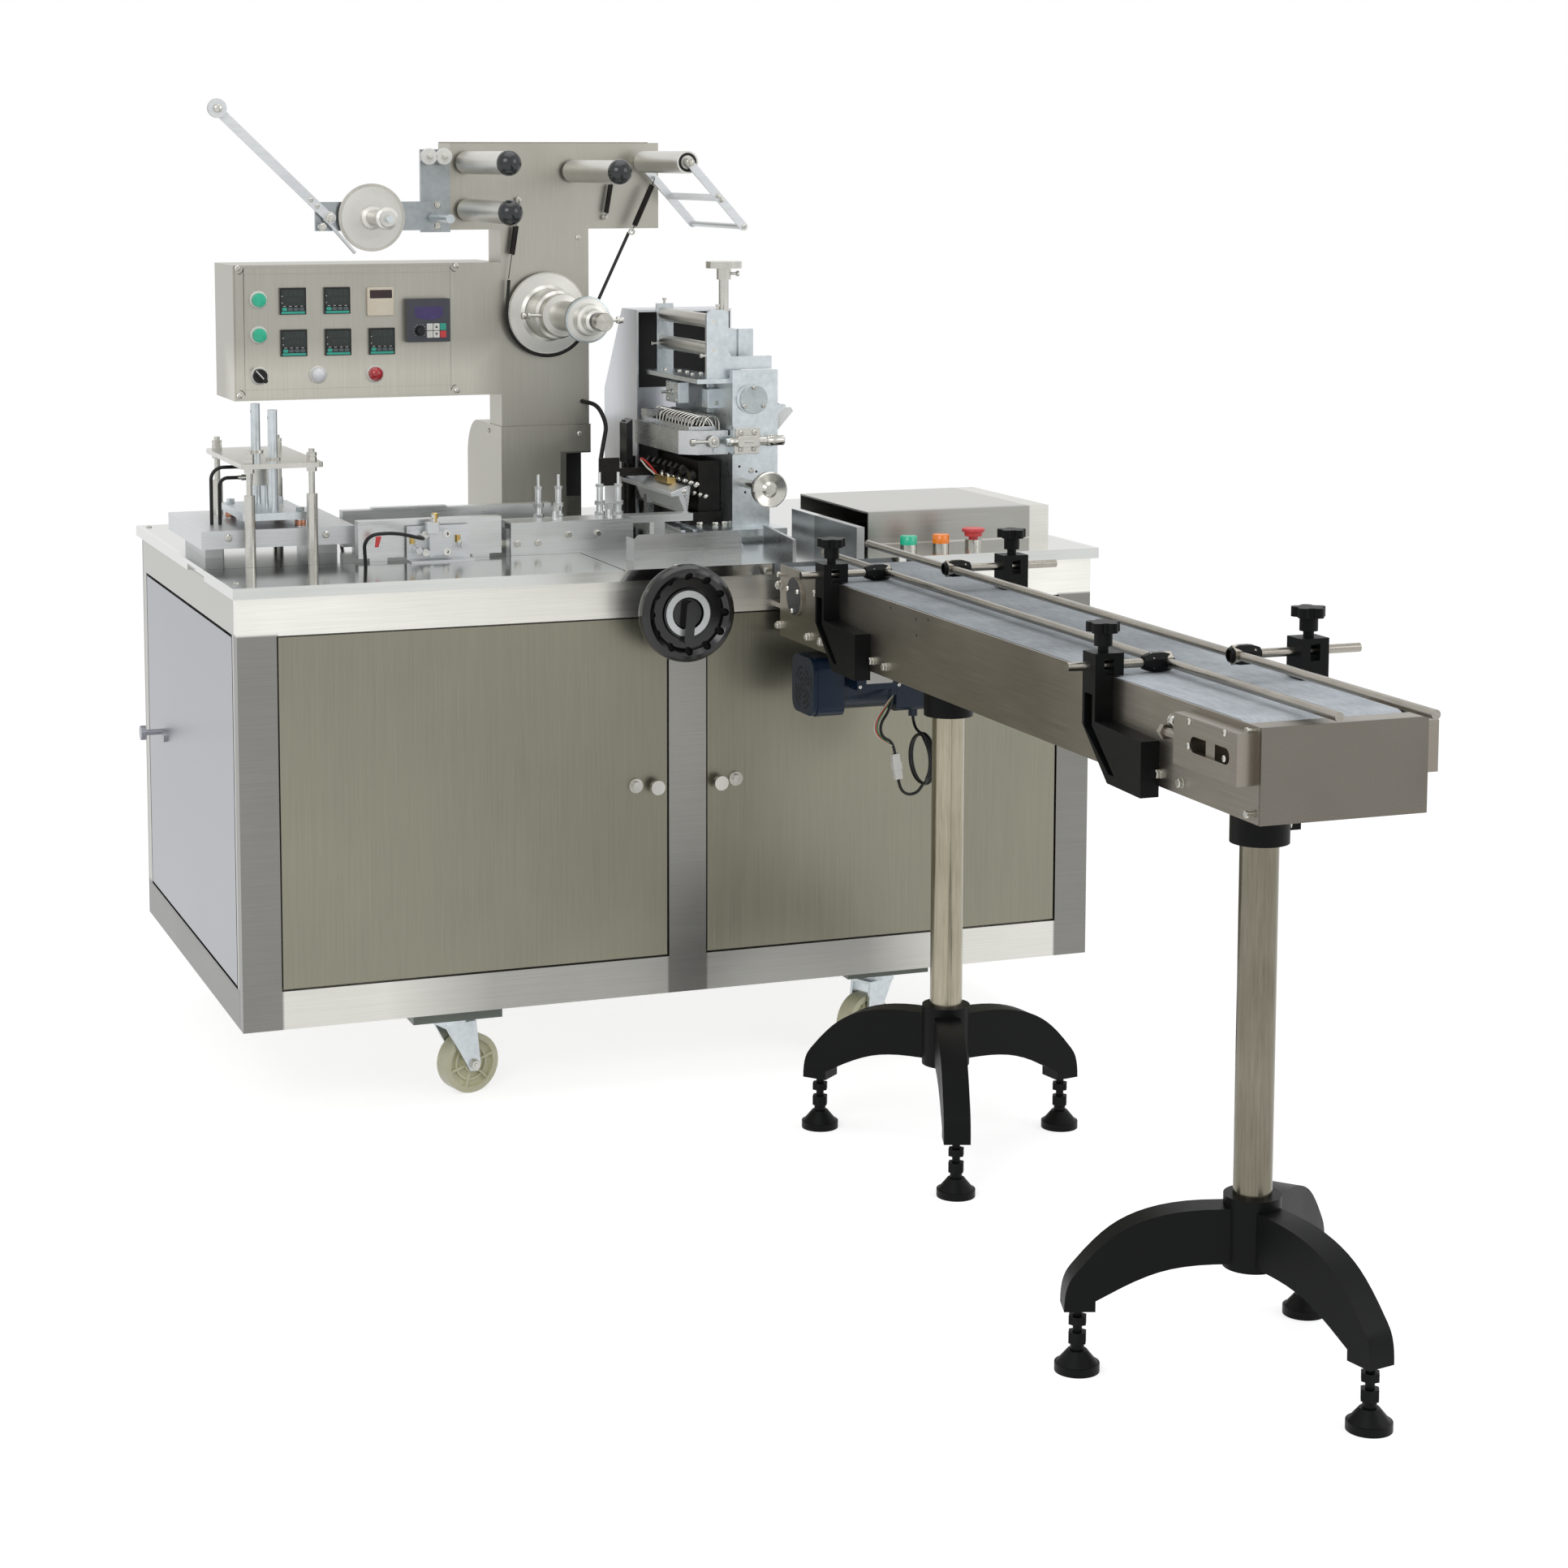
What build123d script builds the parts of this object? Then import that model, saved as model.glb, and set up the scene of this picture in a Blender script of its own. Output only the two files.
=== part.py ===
from build123d import *
from math import acos, atan2, cos, radians, sin, sqrt, tan
import os

# Film overwrapping machine with its outfeed conveyor, in millimetres.
# X runs to the right along the cabinet, Y runs from the conveyor's far end to the back,
# and Z runs up from the floor. Places are measured from the table's front left corner
# on the floor, and the row frame has its origin under the middle of the whole machine.

# Table and cabinet
table_length = 1500
table_depth = 884
table_height = 874
table_lip = 18
cabinet_inset = 8
cabinet_front = 15
cabinet_foot = 160
post_width = 63
bottom_rail = 62
door_top = table_height - 80
left_door_end = table_length / 2 - 27
right_door_start = left_door_end + 65
right_door_end = table_length - 68
door_thickness = 18
door_gap = 3
door_recess = 20
side_door_start = 52
side_door_end = table_depth - 52
side_door_gap = 5
hinge_pin_radius = 2.5
running_gap = 0.05
seat_gap = 0.3

# Castors
wheel_radius = 50
wheel_width = 30
hub_length = 34
castor_trail = 34
castor_bar_height = 22
castor_left = 368
castor_right = table_length - 360
castor_back = table_depth - 114
castor_spots = ((castor_left, 100, 15), (castor_right, 120, 205), (castor_left, castor_back, 40),
                (castor_right, castor_back, 160))

# Wrapping head
head_left = table_length / 2 + 130
head_front = table_depth - 532
head_back = table_depth - 244

# Column, control box and film rollers
column_front = table_depth - 124
column_depth = 80
column_left = table_length / 2 - 93
column_width = 169
crossbar_left = column_left - 95
crossbar_right = column_left + 306
crossbar_bottom = table_height + 534
crossbar_top = table_height + 692
shroud_top = table_height + 171
shroud_depth = 230
notch_left = column_left + 123
notch_top = table_height + 118
box_left = 160
box_bottom = table_height + 231
box_top = table_height + 474
box_depth = 165
plate_right = column_left - 86
roller_radius = 20.5
roller_shaft_radius = 6
roller_reach = 300
roller_places = {"a": (crossbar_left + 28, crossbar_top - 36), "b": (crossbar_left + 30, crossbar_bottom + 36),
                 "c": (crossbar_left + 231, crossbar_top - 52)}
reel_x = column_left + 84
reel_z = table_height + 380
reel_radius = 75
reel_shaft_radius = 15
tape_x = crossbar_left - 152
tape_z = crossbar_bottom + 24
tape_radius = 61
arm_pivot_x = tape_x - 78
arm_pivot_z = tape_z
arm_length = 279
arm_lean = 136
dancer_x = crossbar_right - 43
dancer_z = crossbar_top - 35
dancer_reach = 154
dancer_lean = -48

# Conveyor
conveyor_left = table_length - 594
conveyor_width = 229
conveyor_start = -18
conveyor_end = -1581
conveyor_height = 118
side_plate = 3
rail_radius = 6
rail_height = table_height + 14
far_rail_height = rail_height + 22
near_rail_x = conveyor_left + 84
far_rail_x = conveyor_left + 131
near_rail_start = -4
near_rail_end = -1615
far_rail_start = -78
far_rail_end = -1745
rail_clamp = 30
bracket_width = 36
bracket_reach = 26
post_x = conveyor_left + 114
post_radius = 25
post_places = (-440, -1385)
stand_turns = (-110, -79)
stand_radius = 221
pad_radius = 29
hub_radius = 37
leg_width = 40
leg_foot = 84

# Overall reach, which places the row frame
knob_reach = 30
front_reach = far_rail_end
back_reach = column_front + shroud_depth
left = -(table_length - knob_reach) / 2
front = -(front_reach + back_reach) / 2
table_under = table_height - table_lip


def level(z):
    """Horizontal plane at height z, measured from the table's front left corner."""
    return Plane(origin=(left, front, z))


def facing(y):
    """Upright plane at depth y that looks towards the operator."""
    return Plane(origin=(left, front + y, 0), x_dir=(1, 0, 0), z_dir=(0, -1, 0))


def flank(x):
    """Upright plane at x that looks to the right, with Y as its first axis."""
    return Plane(origin=(left + x, front, 0), x_dir=(0, 1, 0), z_dir=(1, 0, 0))


def deck(height):
    """Horizontal plane at a height above the table top."""
    return level(table_height + height)


def deck_facing(y):
    """Upright plane like facing, with its heights counted from the table top."""
    return facing(y).shift_origin((left, front + y, table_height))


def deck_flank(x):
    """Upright plane like flank, with its heights counted from the table top."""
    return flank(x).shift_origin((left + x, front, table_height))


def block(plane, x, y, width, height, depth, mode=Mode.ADD, corner=0):
    """A prism on a rectangle from its low corner x, y."""
    with BuildSketch(plane) as profile:
        with Locations((x + width / 2, y + height / 2)):
            if corner > 0:
                RectangleRounded(width, height, corner)
            else:
                Rectangle(width, height)
    extrude(profile.sketch, amount=depth, mode=mode)


def rod(plane, spots, radius, length, mode=Mode.ADD):
    """Round bars of one length that stand on a plane."""
    with BuildSketch(plane) as profile:
        with Locations(*spots):
            Circle(radius)
    extrude(profile.sketch, amount=length, mode=mode)


def hexagon(plane, spots, across, length, mode=Mode.ADD):
    """Hexagon nuts or bars, given across their flats."""
    with BuildSketch(plane) as profile:
        with Locations(*spots):
            RegularPolygon(across / 2, 6, major_radius=False)
    extrude(profile.sketch, amount=length, mode=mode)


def plate(plane, points, thickness, mode=Mode.ADD):
    """A flat plate with a straight-sided outline."""
    with BuildSketch(plane) as profile:
        with BuildLine():
            Polyline(*points, close=True)
        make_face()
    extrude(profile.sketch, amount=thickness, mode=mode)


def ring(plane, spots, outer, inner, length, mode=Mode.ADD):
    """Round tubes or washers."""
    with BuildSketch(plane) as profile:
        with Locations(*spots):
            Circle(outer)
            Circle(inner, mode=Mode.SUBTRACT)
    extrude(profile.sketch, amount=length, mode=mode)


def turned(x, z, points, base):
    """A turned piece on an axis along Y, from points of depth behind base and radius."""
    middle = Plane(origin=(left + x, front + base, z), x_dir=(0, 1, 0), z_dir=(1, 0, 0))
    with BuildSketch(middle) as profile:
        with BuildLine():
            Polyline(*points, close=True)
        make_face()
    revolve(profile.sketch, axis=Axis((left + x, front + base, z), (0, -1, 0)))


def bends(points):
    """The largest even bend at each corner of a route, from its shorter run and its turn."""
    radii = []
    for before, corner, after in zip(points, points[1:], points[2:]):
        run_in = Vector(*corner) - Vector(*before)
        run_out = Vector(*after) - Vector(*corner)
        half_turn = radians(run_in.get_angle(run_out) / 2)
        radii.append(0.45 * min(run_in.length, run_out.length) / tan(half_turn))
    return radii


def tube(points, radius):
    """A bent tube or cable through points in table places, with the largest even bends."""
    radii = bends(points)
    print("tube of radius", radius, "has bends of", [round(bend, 1) for bend in radii])
    route = [(left + x, front + y, z) for x, y, z in points]
    with BuildLine() as path:
        FilletPolyline(*route, radius=radii)
    with BuildSketch(Plane(origin=path.line @ 0, z_dir=path.line % 0)) as section:
        Circle(radius)
    sweep(section.sketch, path=path.line)


def spring(top, foot, depth, coil_radius, hook):
    """A closed extension spring between two pins on an upright plane, with a hook at each end."""
    reach = Vector(top[0] - foot[0], 0, top[1] - foot[1])
    length = reach.length
    along = Plane(origin=(left + foot[0], front + depth, foot[1]), x_dir=(0, 1, 0), z_dir=reach)
    with BuildSketch(along) as eye:
        Circle(1.2)
    extrude(eye.sketch, amount=length)
    with BuildSketch(along.offset(hook)) as coils:
        Circle(coil_radius)
    extrude(coils.sketch, amount=length - 2 * hook)


os.makedirs("parts", exist_ok=True)


def save(piece, node):
    """Label one finished piece and write it under its node name."""
    piece.part.label = node
    export_step(piece.part, f"parts/{node}.step")


# Cabinet: a closed sheet-metal housing with door recesses
cabinet_height = table_under - cabinet_foot
cabinet_back = table_depth - cabinet_front
door_bottom = cabinet_foot + bottom_rail
door_height = door_top - door_bottom
left_door_start = cabinet_inset + post_width
left_door_width = left_door_end - left_door_start
right_door_width = right_door_end - right_door_start
side_length = side_door_end - side_door_start
pivot_x = cabinet_inset + 4
pivot_y = side_door_start + side_door_gap + 4
with BuildPart() as cabinet:
    block(level(cabinet_foot), cabinet_inset, cabinet_front, table_length - 2 * cabinet_inset,
          cabinet_back - cabinet_front, cabinet_height)
    block(facing(cabinet_front), left_door_start, door_bottom, left_door_width, door_height,
          -door_recess, Mode.SUBTRACT)
    block(facing(cabinet_front), right_door_start, door_bottom, right_door_width, door_height,
          -door_recess, Mode.SUBTRACT)
    block(flank(cabinet_inset), side_door_start, door_bottom, side_length, door_height,
          door_recess + 4, Mode.SUBTRACT)
    block(flank(table_length - cabinet_inset), side_door_start, door_bottom, side_length, door_height,
          -2, Mode.SUBTRACT)
    rod(level(door_bottom - 12), [(pivot_x, pivot_y)], hinge_pin_radius + running_gap,
        door_height + 24, Mode.SUBTRACT)
save(cabinet, "cabinet")

# Table top: a folded stainless plate with a rim
with BuildPart() as table_top:
    block(level(table_under), 0, 0, table_length, table_depth, table_lip)
    block(level(table_height), 0, 236, 640, 2.5, -2, Mode.SUBTRACT)
    block(level(table_height), 640, 0, 2.5, 238.5, -2, Mode.SUBTRACT)
    block(flank(0), 236, table_under, 145, 11, 9, Mode.SUBTRACT)
    block(level(table_height), 655, 300, 240, 90, -3, Mode.SUBTRACT)
save(table_top, "table_top")

# Front doors: folded panels that sit in the recesses
with BuildPart() as front_doors:
    for start, width in ((left_door_start, left_door_width), (right_door_start, right_door_width)):
        block(facing(cabinet_front + door_recess), start + door_gap, door_bottom + door_gap,
              width - 2 * door_gap, door_height - 2 * door_gap, door_thickness)
save(front_doors, "front_doors")

# Door knobs and cam locks on the front doors
door_face = cabinet_front + door_recess - door_thickness
knob_z = table_height - 362
wheel_x = left_door_end + 4
wheel_z = door_top + 14
with BuildPart() as cabinet_fittings:
    rod(facing(door_face), [(left_door_end - 26, knob_z), (right_door_start + 20, knob_z)], 4.5, 14)
    rod(facing(door_face - 14), [(left_door_end - 26, knob_z), (right_door_start + 20, knob_z)], 12, 10)
    rod(facing(door_face), [(left_door_end - 58, knob_z + 2), (right_door_start + 52, knob_z + 2)], 12, 5)
    rod(facing(door_face - 5), [(left_door_end - 58, knob_z + 2), (right_door_start + 52, knob_z + 2)], 8, 9)
    rod(facing(cabinet_front), [(wheel_x, wheel_z)], 20, 35)
    rod(facing(cabinet_front - 35), [(wheel_x, wheel_z)], 8, 38)
save(cabinet_fittings, "cabinet_fittings")

# Side door with its pivot pins, knob and lock
side_start = side_door_start + side_door_gap
side_knob = (side_door_end - 129, knob_z + 13)
side_lock = (side_door_end - 172, knob_z + 13)
with BuildPart() as side_door:
    block(flank(cabinet_inset), side_start, door_bottom + side_door_gap,
          side_length - 2 * side_door_gap, door_height - 2 * side_door_gap, door_thickness)
    rod(level(door_bottom - 10), [(pivot_x, pivot_y)], hinge_pin_radius, door_height + 20)
    rod(flank(cabinet_inset), [side_knob], 5, -(cabinet_inset + knob_reach - 9))
    rod(flank(9 - knob_reach), [side_knob], 13, -9)
    rod(flank(cabinet_inset), [side_lock], 11, -6)
save(side_door, "side_door")

# Castor bars under the cabinet
castor_top = cabinet_foot - castor_bar_height
castor_swivels = [(x, y) for x, y, turn in castor_spots]
with BuildPart() as castor_bars:
    for x, y in castor_swivels:
        block(level(castor_top), x - 75, y - 55, 150, 110, castor_bar_height)
    rod(level(castor_top), castor_swivels, 6 + running_gap, 16, Mode.SUBTRACT)
save(castor_bars, "castor_bars")

# Castor forks: a swivel head, two cheeks, the axle and the kingpin
fork_top = castor_top - seat_gap
cheek_gap = hub_length + 2
for number, (x, y, turn) in enumerate(castor_spots, start=1):
    swivel = level(0).location * Location((x, y, 0), (0, 0, turn))
    with BuildPart(Plane(swivel)) as castor_fork:
        with BuildSketch(Plane(swivel).offset(fork_top)) as race:
            Circle(30)
        extrude(race.sketch, amount=-14)
        with BuildSketch(Plane(swivel).offset(fork_top)) as kingpin:
            Circle(6)
        extrude(kingpin.sketch, amount=14)
        with BuildSketch(Plane(swivel).offset(fork_top - 14)) as crown:
            with Locations((castor_trail / 4, 0)):
                Rectangle(60, cheek_gap + 10)
        extrude(crown.sketch, amount=-5)
        cheek_plane = Plane(swivel * Location((0, cheek_gap / 2 + 5, 0), (90, 0, 0)))
        far_cheek_plane = Plane(swivel * Location((0, -cheek_gap / 2, 0), (90, 0, 0)))
        for face in (cheek_plane, far_cheek_plane):
            with BuildSketch(face) as cheek:
                with BuildLine():
                    Polyline((-21, fork_top - 14), (38, fork_top - 14), (castor_trail + 12, wheel_radius),
                             (castor_trail + 6, wheel_radius - 12), (castor_trail - 8, wheel_radius - 10),
                             close=True)
                make_face()
            extrude(cheek.sketch, amount=5)
        with BuildSketch(Plane(swivel * Location((castor_trail, cheek_gap / 2 + 10, wheel_radius), (90, 0, 0)))) as axle:
            Circle(5)
        extrude(axle.sketch, amount=cheek_gap + 20)
    save(castor_fork, f"castor_fork_{number}")

    hub = Plane(swivel * Location((castor_trail, 0, wheel_radius), (90, 0, 0)))
    with BuildPart() as castor_wheel:
        with BuildSketch(hub.offset(-wheel_width / 2)) as tread:
            Circle(wheel_radius)
            Circle(5 + running_gap, mode=Mode.SUBTRACT)
        extrude(tread.sketch, amount=wheel_width)
        with BuildSketch(hub.offset(-hub_length / 2)) as bearing:
            Circle(15)
            Circle(5 + running_gap, mode=Mode.SUBTRACT)
        extrude(bearing.sketch, amount=hub_length)
        for side in (1, -1):
            rim = hub if side > 0 else Plane(hub.origin, x_dir=hub.x_dir, z_dir=-hub.z_dir)
            with BuildSketch(rim.offset(wheel_width / 2)) as web:
                Circle(wheel_radius - 10)
                Circle(15, mode=Mode.SUBTRACT)
            extrude(web.sketch, amount=-7, mode=Mode.SUBTRACT)
    save(castor_wheel, f"castor_wheel_{number}")

# Column with its crossbar and the shroud at its foot, one welded housing, and the roller shafts
column_right = column_left + column_width
column_back = column_front + column_depth
with BuildPart() as column:
    plate(facing(column_back), [(column_left, shroud_top), (column_right, shroud_top),
                                (column_right, crossbar_bottom), (crossbar_right, crossbar_bottom),
                                (crossbar_right, crossbar_top), (crossbar_left, crossbar_top),
                                (crossbar_left, crossbar_bottom), (column_left, crossbar_bottom)], column_depth)
    rod(facing(column_front), list(roller_places.values()), roller_shaft_radius, roller_reach - 18)
    rod(facing(column_front), [(dancer_x, dancer_z)], roller_shaft_radius, roller_reach + 4)
    rod(facing(column_front), [*roller_places.values(), (dancer_x, dancer_z)], 11, 12)
    rod(facing(column_front), [(reel_x, reel_z)], 27, 8)
    rod(facing(column_front), [(reel_x, reel_z)], 20 + running_gap, -60, Mode.SUBTRACT)
    rod(facing(column_front), [(reel_x, reel_z)], 20 + running_gap, 8, Mode.SUBTRACT)
    with BuildSketch(flank(column_left - 2)) as side:
        with BuildLine():
            start = (column_front - 3, table_height)
            Line(start, (column_front - 3, shroud_top))
            Line((column_front - 3, shroud_top), (back_reach - 70, shroud_top))
            TangentArc((back_reach - 70, shroud_top), (back_reach, shroud_top - 70), tangent=(1, 0))
            Line((back_reach, shroud_top - 70), (back_reach, table_height))
            Line((back_reach, table_height), start)
        make_face()
    extrude(side.sketch, amount=column_width + 4)
    block(facing(column_front - 3), notch_left, table_height, column_right + 2 - notch_left,
          notch_top - table_height, -60, Mode.SUBTRACT)
save(column, "column")

# Control box
with BuildPart() as control_box:
    block(facing(column_front + box_depth), box_left, box_bottom, column_left - box_left,
          box_top - box_bottom, box_depth)
    block(facing(column_front), box_left + 3, box_bottom + 4, plate_right - box_left - 3,
          box_top - box_bottom - 9, 2)
save(control_box, "control_box")

# Temperature controllers, counter and speed inverter
panel_face = column_front - 2
controller_size = 48
upper_row = box_bottom + 178
lower_row = box_bottom + 103
button_row = box_bottom + 45
controller_spots = ((box_left + 107, upper_row), (box_left + 188, upper_row), (box_left + 108, lower_row),
                    (box_left + 189, lower_row), (box_left + 270, lower_row))
counter_spot = (box_left + 268, upper_row - 3)
inverter_spot = (box_left + 314, lower_row - 2)
selector_spot = (box_left + 45, button_row)
button_spots = [(box_left + 45, upper_row + 3), (box_left + 45, lower_row + 15), (box_left + 152, button_row),
                (box_left + 257, button_row - 1)]
with BuildPart() as panel_instruments:
    for x, z in controller_spots:
        block(facing(panel_face), x - controller_size / 2, z - controller_size / 2, controller_size,
              controller_size, 6)
    block(facing(panel_face), counter_spot[0] - 24, counter_spot[1] - 25, 48, 50, 6)
    block(facing(panel_face), *inverter_spot, 80, 78, 18)
save(panel_instruments, "panel_instruments")

# Push buttons and lamps on the panel, and the three buttons on the table
start_spot = (table_length - 321, 80)
jog_spot = (table_length - 261, 80)
stop_spot = (table_length - 200, 80)
with BuildPart() as push_buttons:
    rod(facing(panel_face), button_spots, 15, 5)
    rod(facing(panel_face - 5), button_spots, 12, 8)
    rod(facing(panel_face), [selector_spot], 15, 5)
    rod(facing(panel_face - 5), [selector_spot], 4 + running_gap, -5, Mode.SUBTRACT)
    rod(level(table_height), [start_spot, jog_spot], 14.5, 16)
    rod(level(table_height + 16), [start_spot, jog_spot], 11, 8)
    rod(level(table_height), [stop_spot], 14.5, 14)
    rod(level(table_height), [stop_spot], 8 + running_gap, 14, Mode.SUBTRACT)
save(push_buttons, "push_buttons")

with BuildPart() as selector_knob:
    rod(facing(panel_face - 5 - seat_gap), [selector_spot], 12, 6)
    block(facing(panel_face - 11), selector_spot[0] - 3.5, selector_spot[1] - 12, 7, 24, 9)
    rod(facing(panel_face - 5 - seat_gap), [selector_spot], 4, -4.5)
save(selector_knob, "selector_knob")

# Guide rollers with their domed black caps
roller_start = 13
cap_start = roller_reach - 16
for name, (x, z) in roller_places.items():
    with BuildPart() as guide_roller:
        turned(x, z, [(-roller_start, roller_shaft_radius + running_gap), (-roller_start, roller_radius),
                      (-cap_start, roller_radius), (-cap_start, roller_radius + 0.6),
                      (-cap_start - 5, roller_radius + 0.4), (-cap_start - 9, roller_radius - 2),
                      (-cap_start - 13, roller_radius - 7), (-cap_start - 16, 0), (-cap_start, 0),
                      (-cap_start, roller_shaft_radius + running_gap)], column_front)
    save(guide_roller, f"guide_roller_{name}")

with BuildPart() as dancer_roller:
    rod(facing(column_front - 45), [(dancer_x, dancer_z)], 20, 240)
    rod(facing(column_front - 45), [(dancer_x, dancer_z)], roller_shaft_radius + running_gap, 240, Mode.SUBTRACT)
    ring(facing(column_front - 279), [(dancer_x, dancer_z)], 17, 12, 6, Mode.SUBTRACT)
save(dancer_roller, "dancer_roller")

# Dancer arm: two bars, a cross rod and a flat cross bar, swinging on the dancer shaft
lean = radians(dancer_lean)
arm_pin = (dancer_x + 25, dancer_z - 29)
tip = (dancer_x + dancer_reach * cos(lean), dancer_z + dancer_reach * sin(lean))
middle = (dancer_x + 0.55 * dancer_reach * cos(lean), dancer_z + 0.55 * dancer_reach * sin(lean))
with BuildPart() as dancer_arm:
    for depth in (column_front - 20, column_front - 290):
        with BuildSketch(facing(depth)) as bar:
            with Locations(Location(((dancer_x + tip[0]) / 2, (dancer_z + tip[1]) / 2, 0), (0, 0, dancer_lean))):
                SlotCenterToCenter(dancer_reach, 14)
            with Locations((dancer_x, dancer_z)):
                Circle(roller_shaft_radius + running_gap, mode=Mode.SUBTRACT)
        extrude(bar.sketch, amount=6)
    rod(facing(column_front - 26), [tip], 5, 264)
    with BuildSketch(facing(column_front - 26)) as flat:
        with Locations(Location((middle[0], middle[1], 0), (0, 0, dancer_lean))):
            Rectangle(4, 14)
    extrude(flat.sketch, amount=264)
    rod(facing(column_front - 26), [arm_pin], 3, 16)
save(dancer_arm, "dancer_arm")

# Springs: anchors on the column and the brake spring between the dancer arm and the cord
spring_depth = column_front - 15
left_pin = (column_left + 32, crossbar_bottom + 54)
lower_pin = (column_left + 198, crossbar_bottom + 21)
upper_pin = (column_left + 209, crossbar_bottom + 90)
left_foot = (column_left + 10, crossbar_bottom - 90)
with BuildPart() as anchor_springs:
    rod(facing(column_front), [left_pin, lower_pin, upper_pin], 3, 22)
    spring((upper_pin[0], upper_pin[1] - 3), (lower_pin[0], lower_pin[1] + 3), spring_depth, 5, 6)
    spring((left_pin[0], left_pin[1] - 3), left_foot, spring_depth, 5.5, 46)
save(anchor_springs, "anchor_springs")

brake_ring = (dancer_x - 21, dancer_z - 128)
brake_spring_depth = column_front - 36
with BuildPart() as brake_spring:
    spring((arm_pin[0] - 1.4, arm_pin[1] - 3.1), brake_ring, brake_spring_depth, 5.5, 12)
save(brake_spring, "brake_spring")

# Film reel: shaft, brake disc with its cone, and the front flange
film_bearing = 20
with BuildPart() as film_reel:
    turned(reel_x, reel_z, [(50, 0), (50, film_bearing), (-12, film_bearing), (-12, reel_radius), (-17, reel_radius),
                            (-20, 52), (-24, 46), (-40, 44), (-84, 44), (-88, 39), (-112, 38), (-114, 27), (-226, 27),
                            (-228, 31), (-250, 31), (-252, 41), (-262, 41), (-264, 29), (-284, 27), (-286, 21),
                            (-312, 20), (-314, reel_shaft_radius), (-357, reel_shaft_radius), (-358, 0)], column_front)
    for x, y, reach in ((reel_x - 62, -98, 40), (reel_x + 15, -292, 39)):
        rod(flank(x), [(column_front + y, reel_z)], 3, reach)
        rod(flank(x + (reach - 3 if x > reel_x else -1)), [(column_front + y, reel_z)], 5.5, 4)
save(film_reel, "film_reel")

# Brake cord from the left spring round the disc and up to the ring
cord_radius = 3
cord_run = reel_radius + cord_radius + 0.5
cord_depth = column_front - 18
cord_start = (left_foot[0], left_foot[1] - 2)
cord_end = (brake_ring[0], brake_ring[1] - 2)


def tangent_point(spot, side):
    """Where a straight run from a spot meets the cord's circle round the disc."""
    across = spot[0] - reel_x
    rise = spot[1] - reel_z
    turn = atan2(rise, across) + side * acos(cord_run / sqrt(across**2 + rise**2))
    return (reel_x + cord_run * cos(turn), reel_z + cord_run * sin(turn))


first_touch = tangent_point(cord_start, 1)
last_touch = tangent_point(cord_end, -1)
cord_plane = facing(cord_depth)
with BuildPart() as brake_cord:
    with BuildLine(cord_plane) as route:
        Line(cord_start, first_touch)
        ThreePointArc(first_touch, (reel_x, reel_z - cord_run), last_touch)
        Line(last_touch, cord_end)
    with BuildSketch(Plane(origin=route.line @ 0, z_dir=route.line % 0)) as section:
        Circle(cord_radius)
    sweep(section.sketch, path=route.line)
save(brake_cord, "brake_cord")

# Tear-tape unit: bracket, reel and arm
with BuildPart() as tape_bracket:
    block(facing(column_front + 8), crossbar_left - 55, crossbar_bottom - 4, 55, 150, 8)
    block(facing(column_front), tape_x - 100, crossbar_bottom, 220, 52, 8)
    rod(facing(column_front - 8), [(tape_x, tape_z)], 6, 150)
    rod(facing(column_front - 8), [(arm_pivot_x, arm_pivot_z)], 5, 22)
    rod(facing(column_front), [(crossbar_left - 44, crossbar_top - 25), (crossbar_left - 16, crossbar_top - 25)],
        13, 14)
    rod(facing(column_front - 8), [(crossbar_left - 37, crossbar_bottom + 23)], 8, 130)
    rod(facing(column_front - 8), [(arm_pivot_x - 14, arm_pivot_z - 16)], 6, 22)
save(tape_bracket, "tape_bracket")

with BuildPart() as tape_reel:
    turned(tape_x, tape_z, [(-20, 6 + running_gap), (-20, tape_radius), (-23, tape_radius), (-25, 22), (-34, 21),
                            (-36, 14.5), (-120, 14.5), (-122, 20), (-136, 20), (-138, 15), (-142, 14),
                            (-142, 6 + running_gap)], column_front)
save(tape_reel, "tape_reel")

arm_turn = radians(arm_lean)
arm_tip = (arm_pivot_x + arm_length * cos(arm_turn), arm_pivot_z + arm_length * sin(arm_turn))
with BuildPart() as tape_arm:
    with BuildSketch(facing(column_front - 16)) as bar:
        with Locations(Location(((arm_pivot_x + arm_tip[0]) / 2, (arm_pivot_z + arm_tip[1]) / 2, 0),
                                (0, 0, arm_lean))):
            SlotCenterToCenter(arm_length, 17)
        with Locations((arm_pivot_x, arm_pivot_z)):
            Circle(5 + running_gap, mode=Mode.SUBTRACT)
    extrude(bar.sketch, amount=6)
    rod(facing(column_front - 22), [arm_tip], 16.5, 14)
    rod(facing(column_front - 22), [arm_tip], 6, 20)
    ring(facing(column_front - 14), [(arm_pivot_x, arm_pivot_z)], 11, 5 + running_gap, 14)
    plate(facing(column_front - 16), [(arm_pivot_x - 4, arm_pivot_z - 10), (arm_pivot_x + 4, arm_pivot_z - 12),
                                      (arm_pivot_x + 48, arm_pivot_z - 62),
                                      (arm_pivot_x + 45, arm_pivot_z - 65)], 12)
save(tape_arm, "tape_arm")

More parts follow.
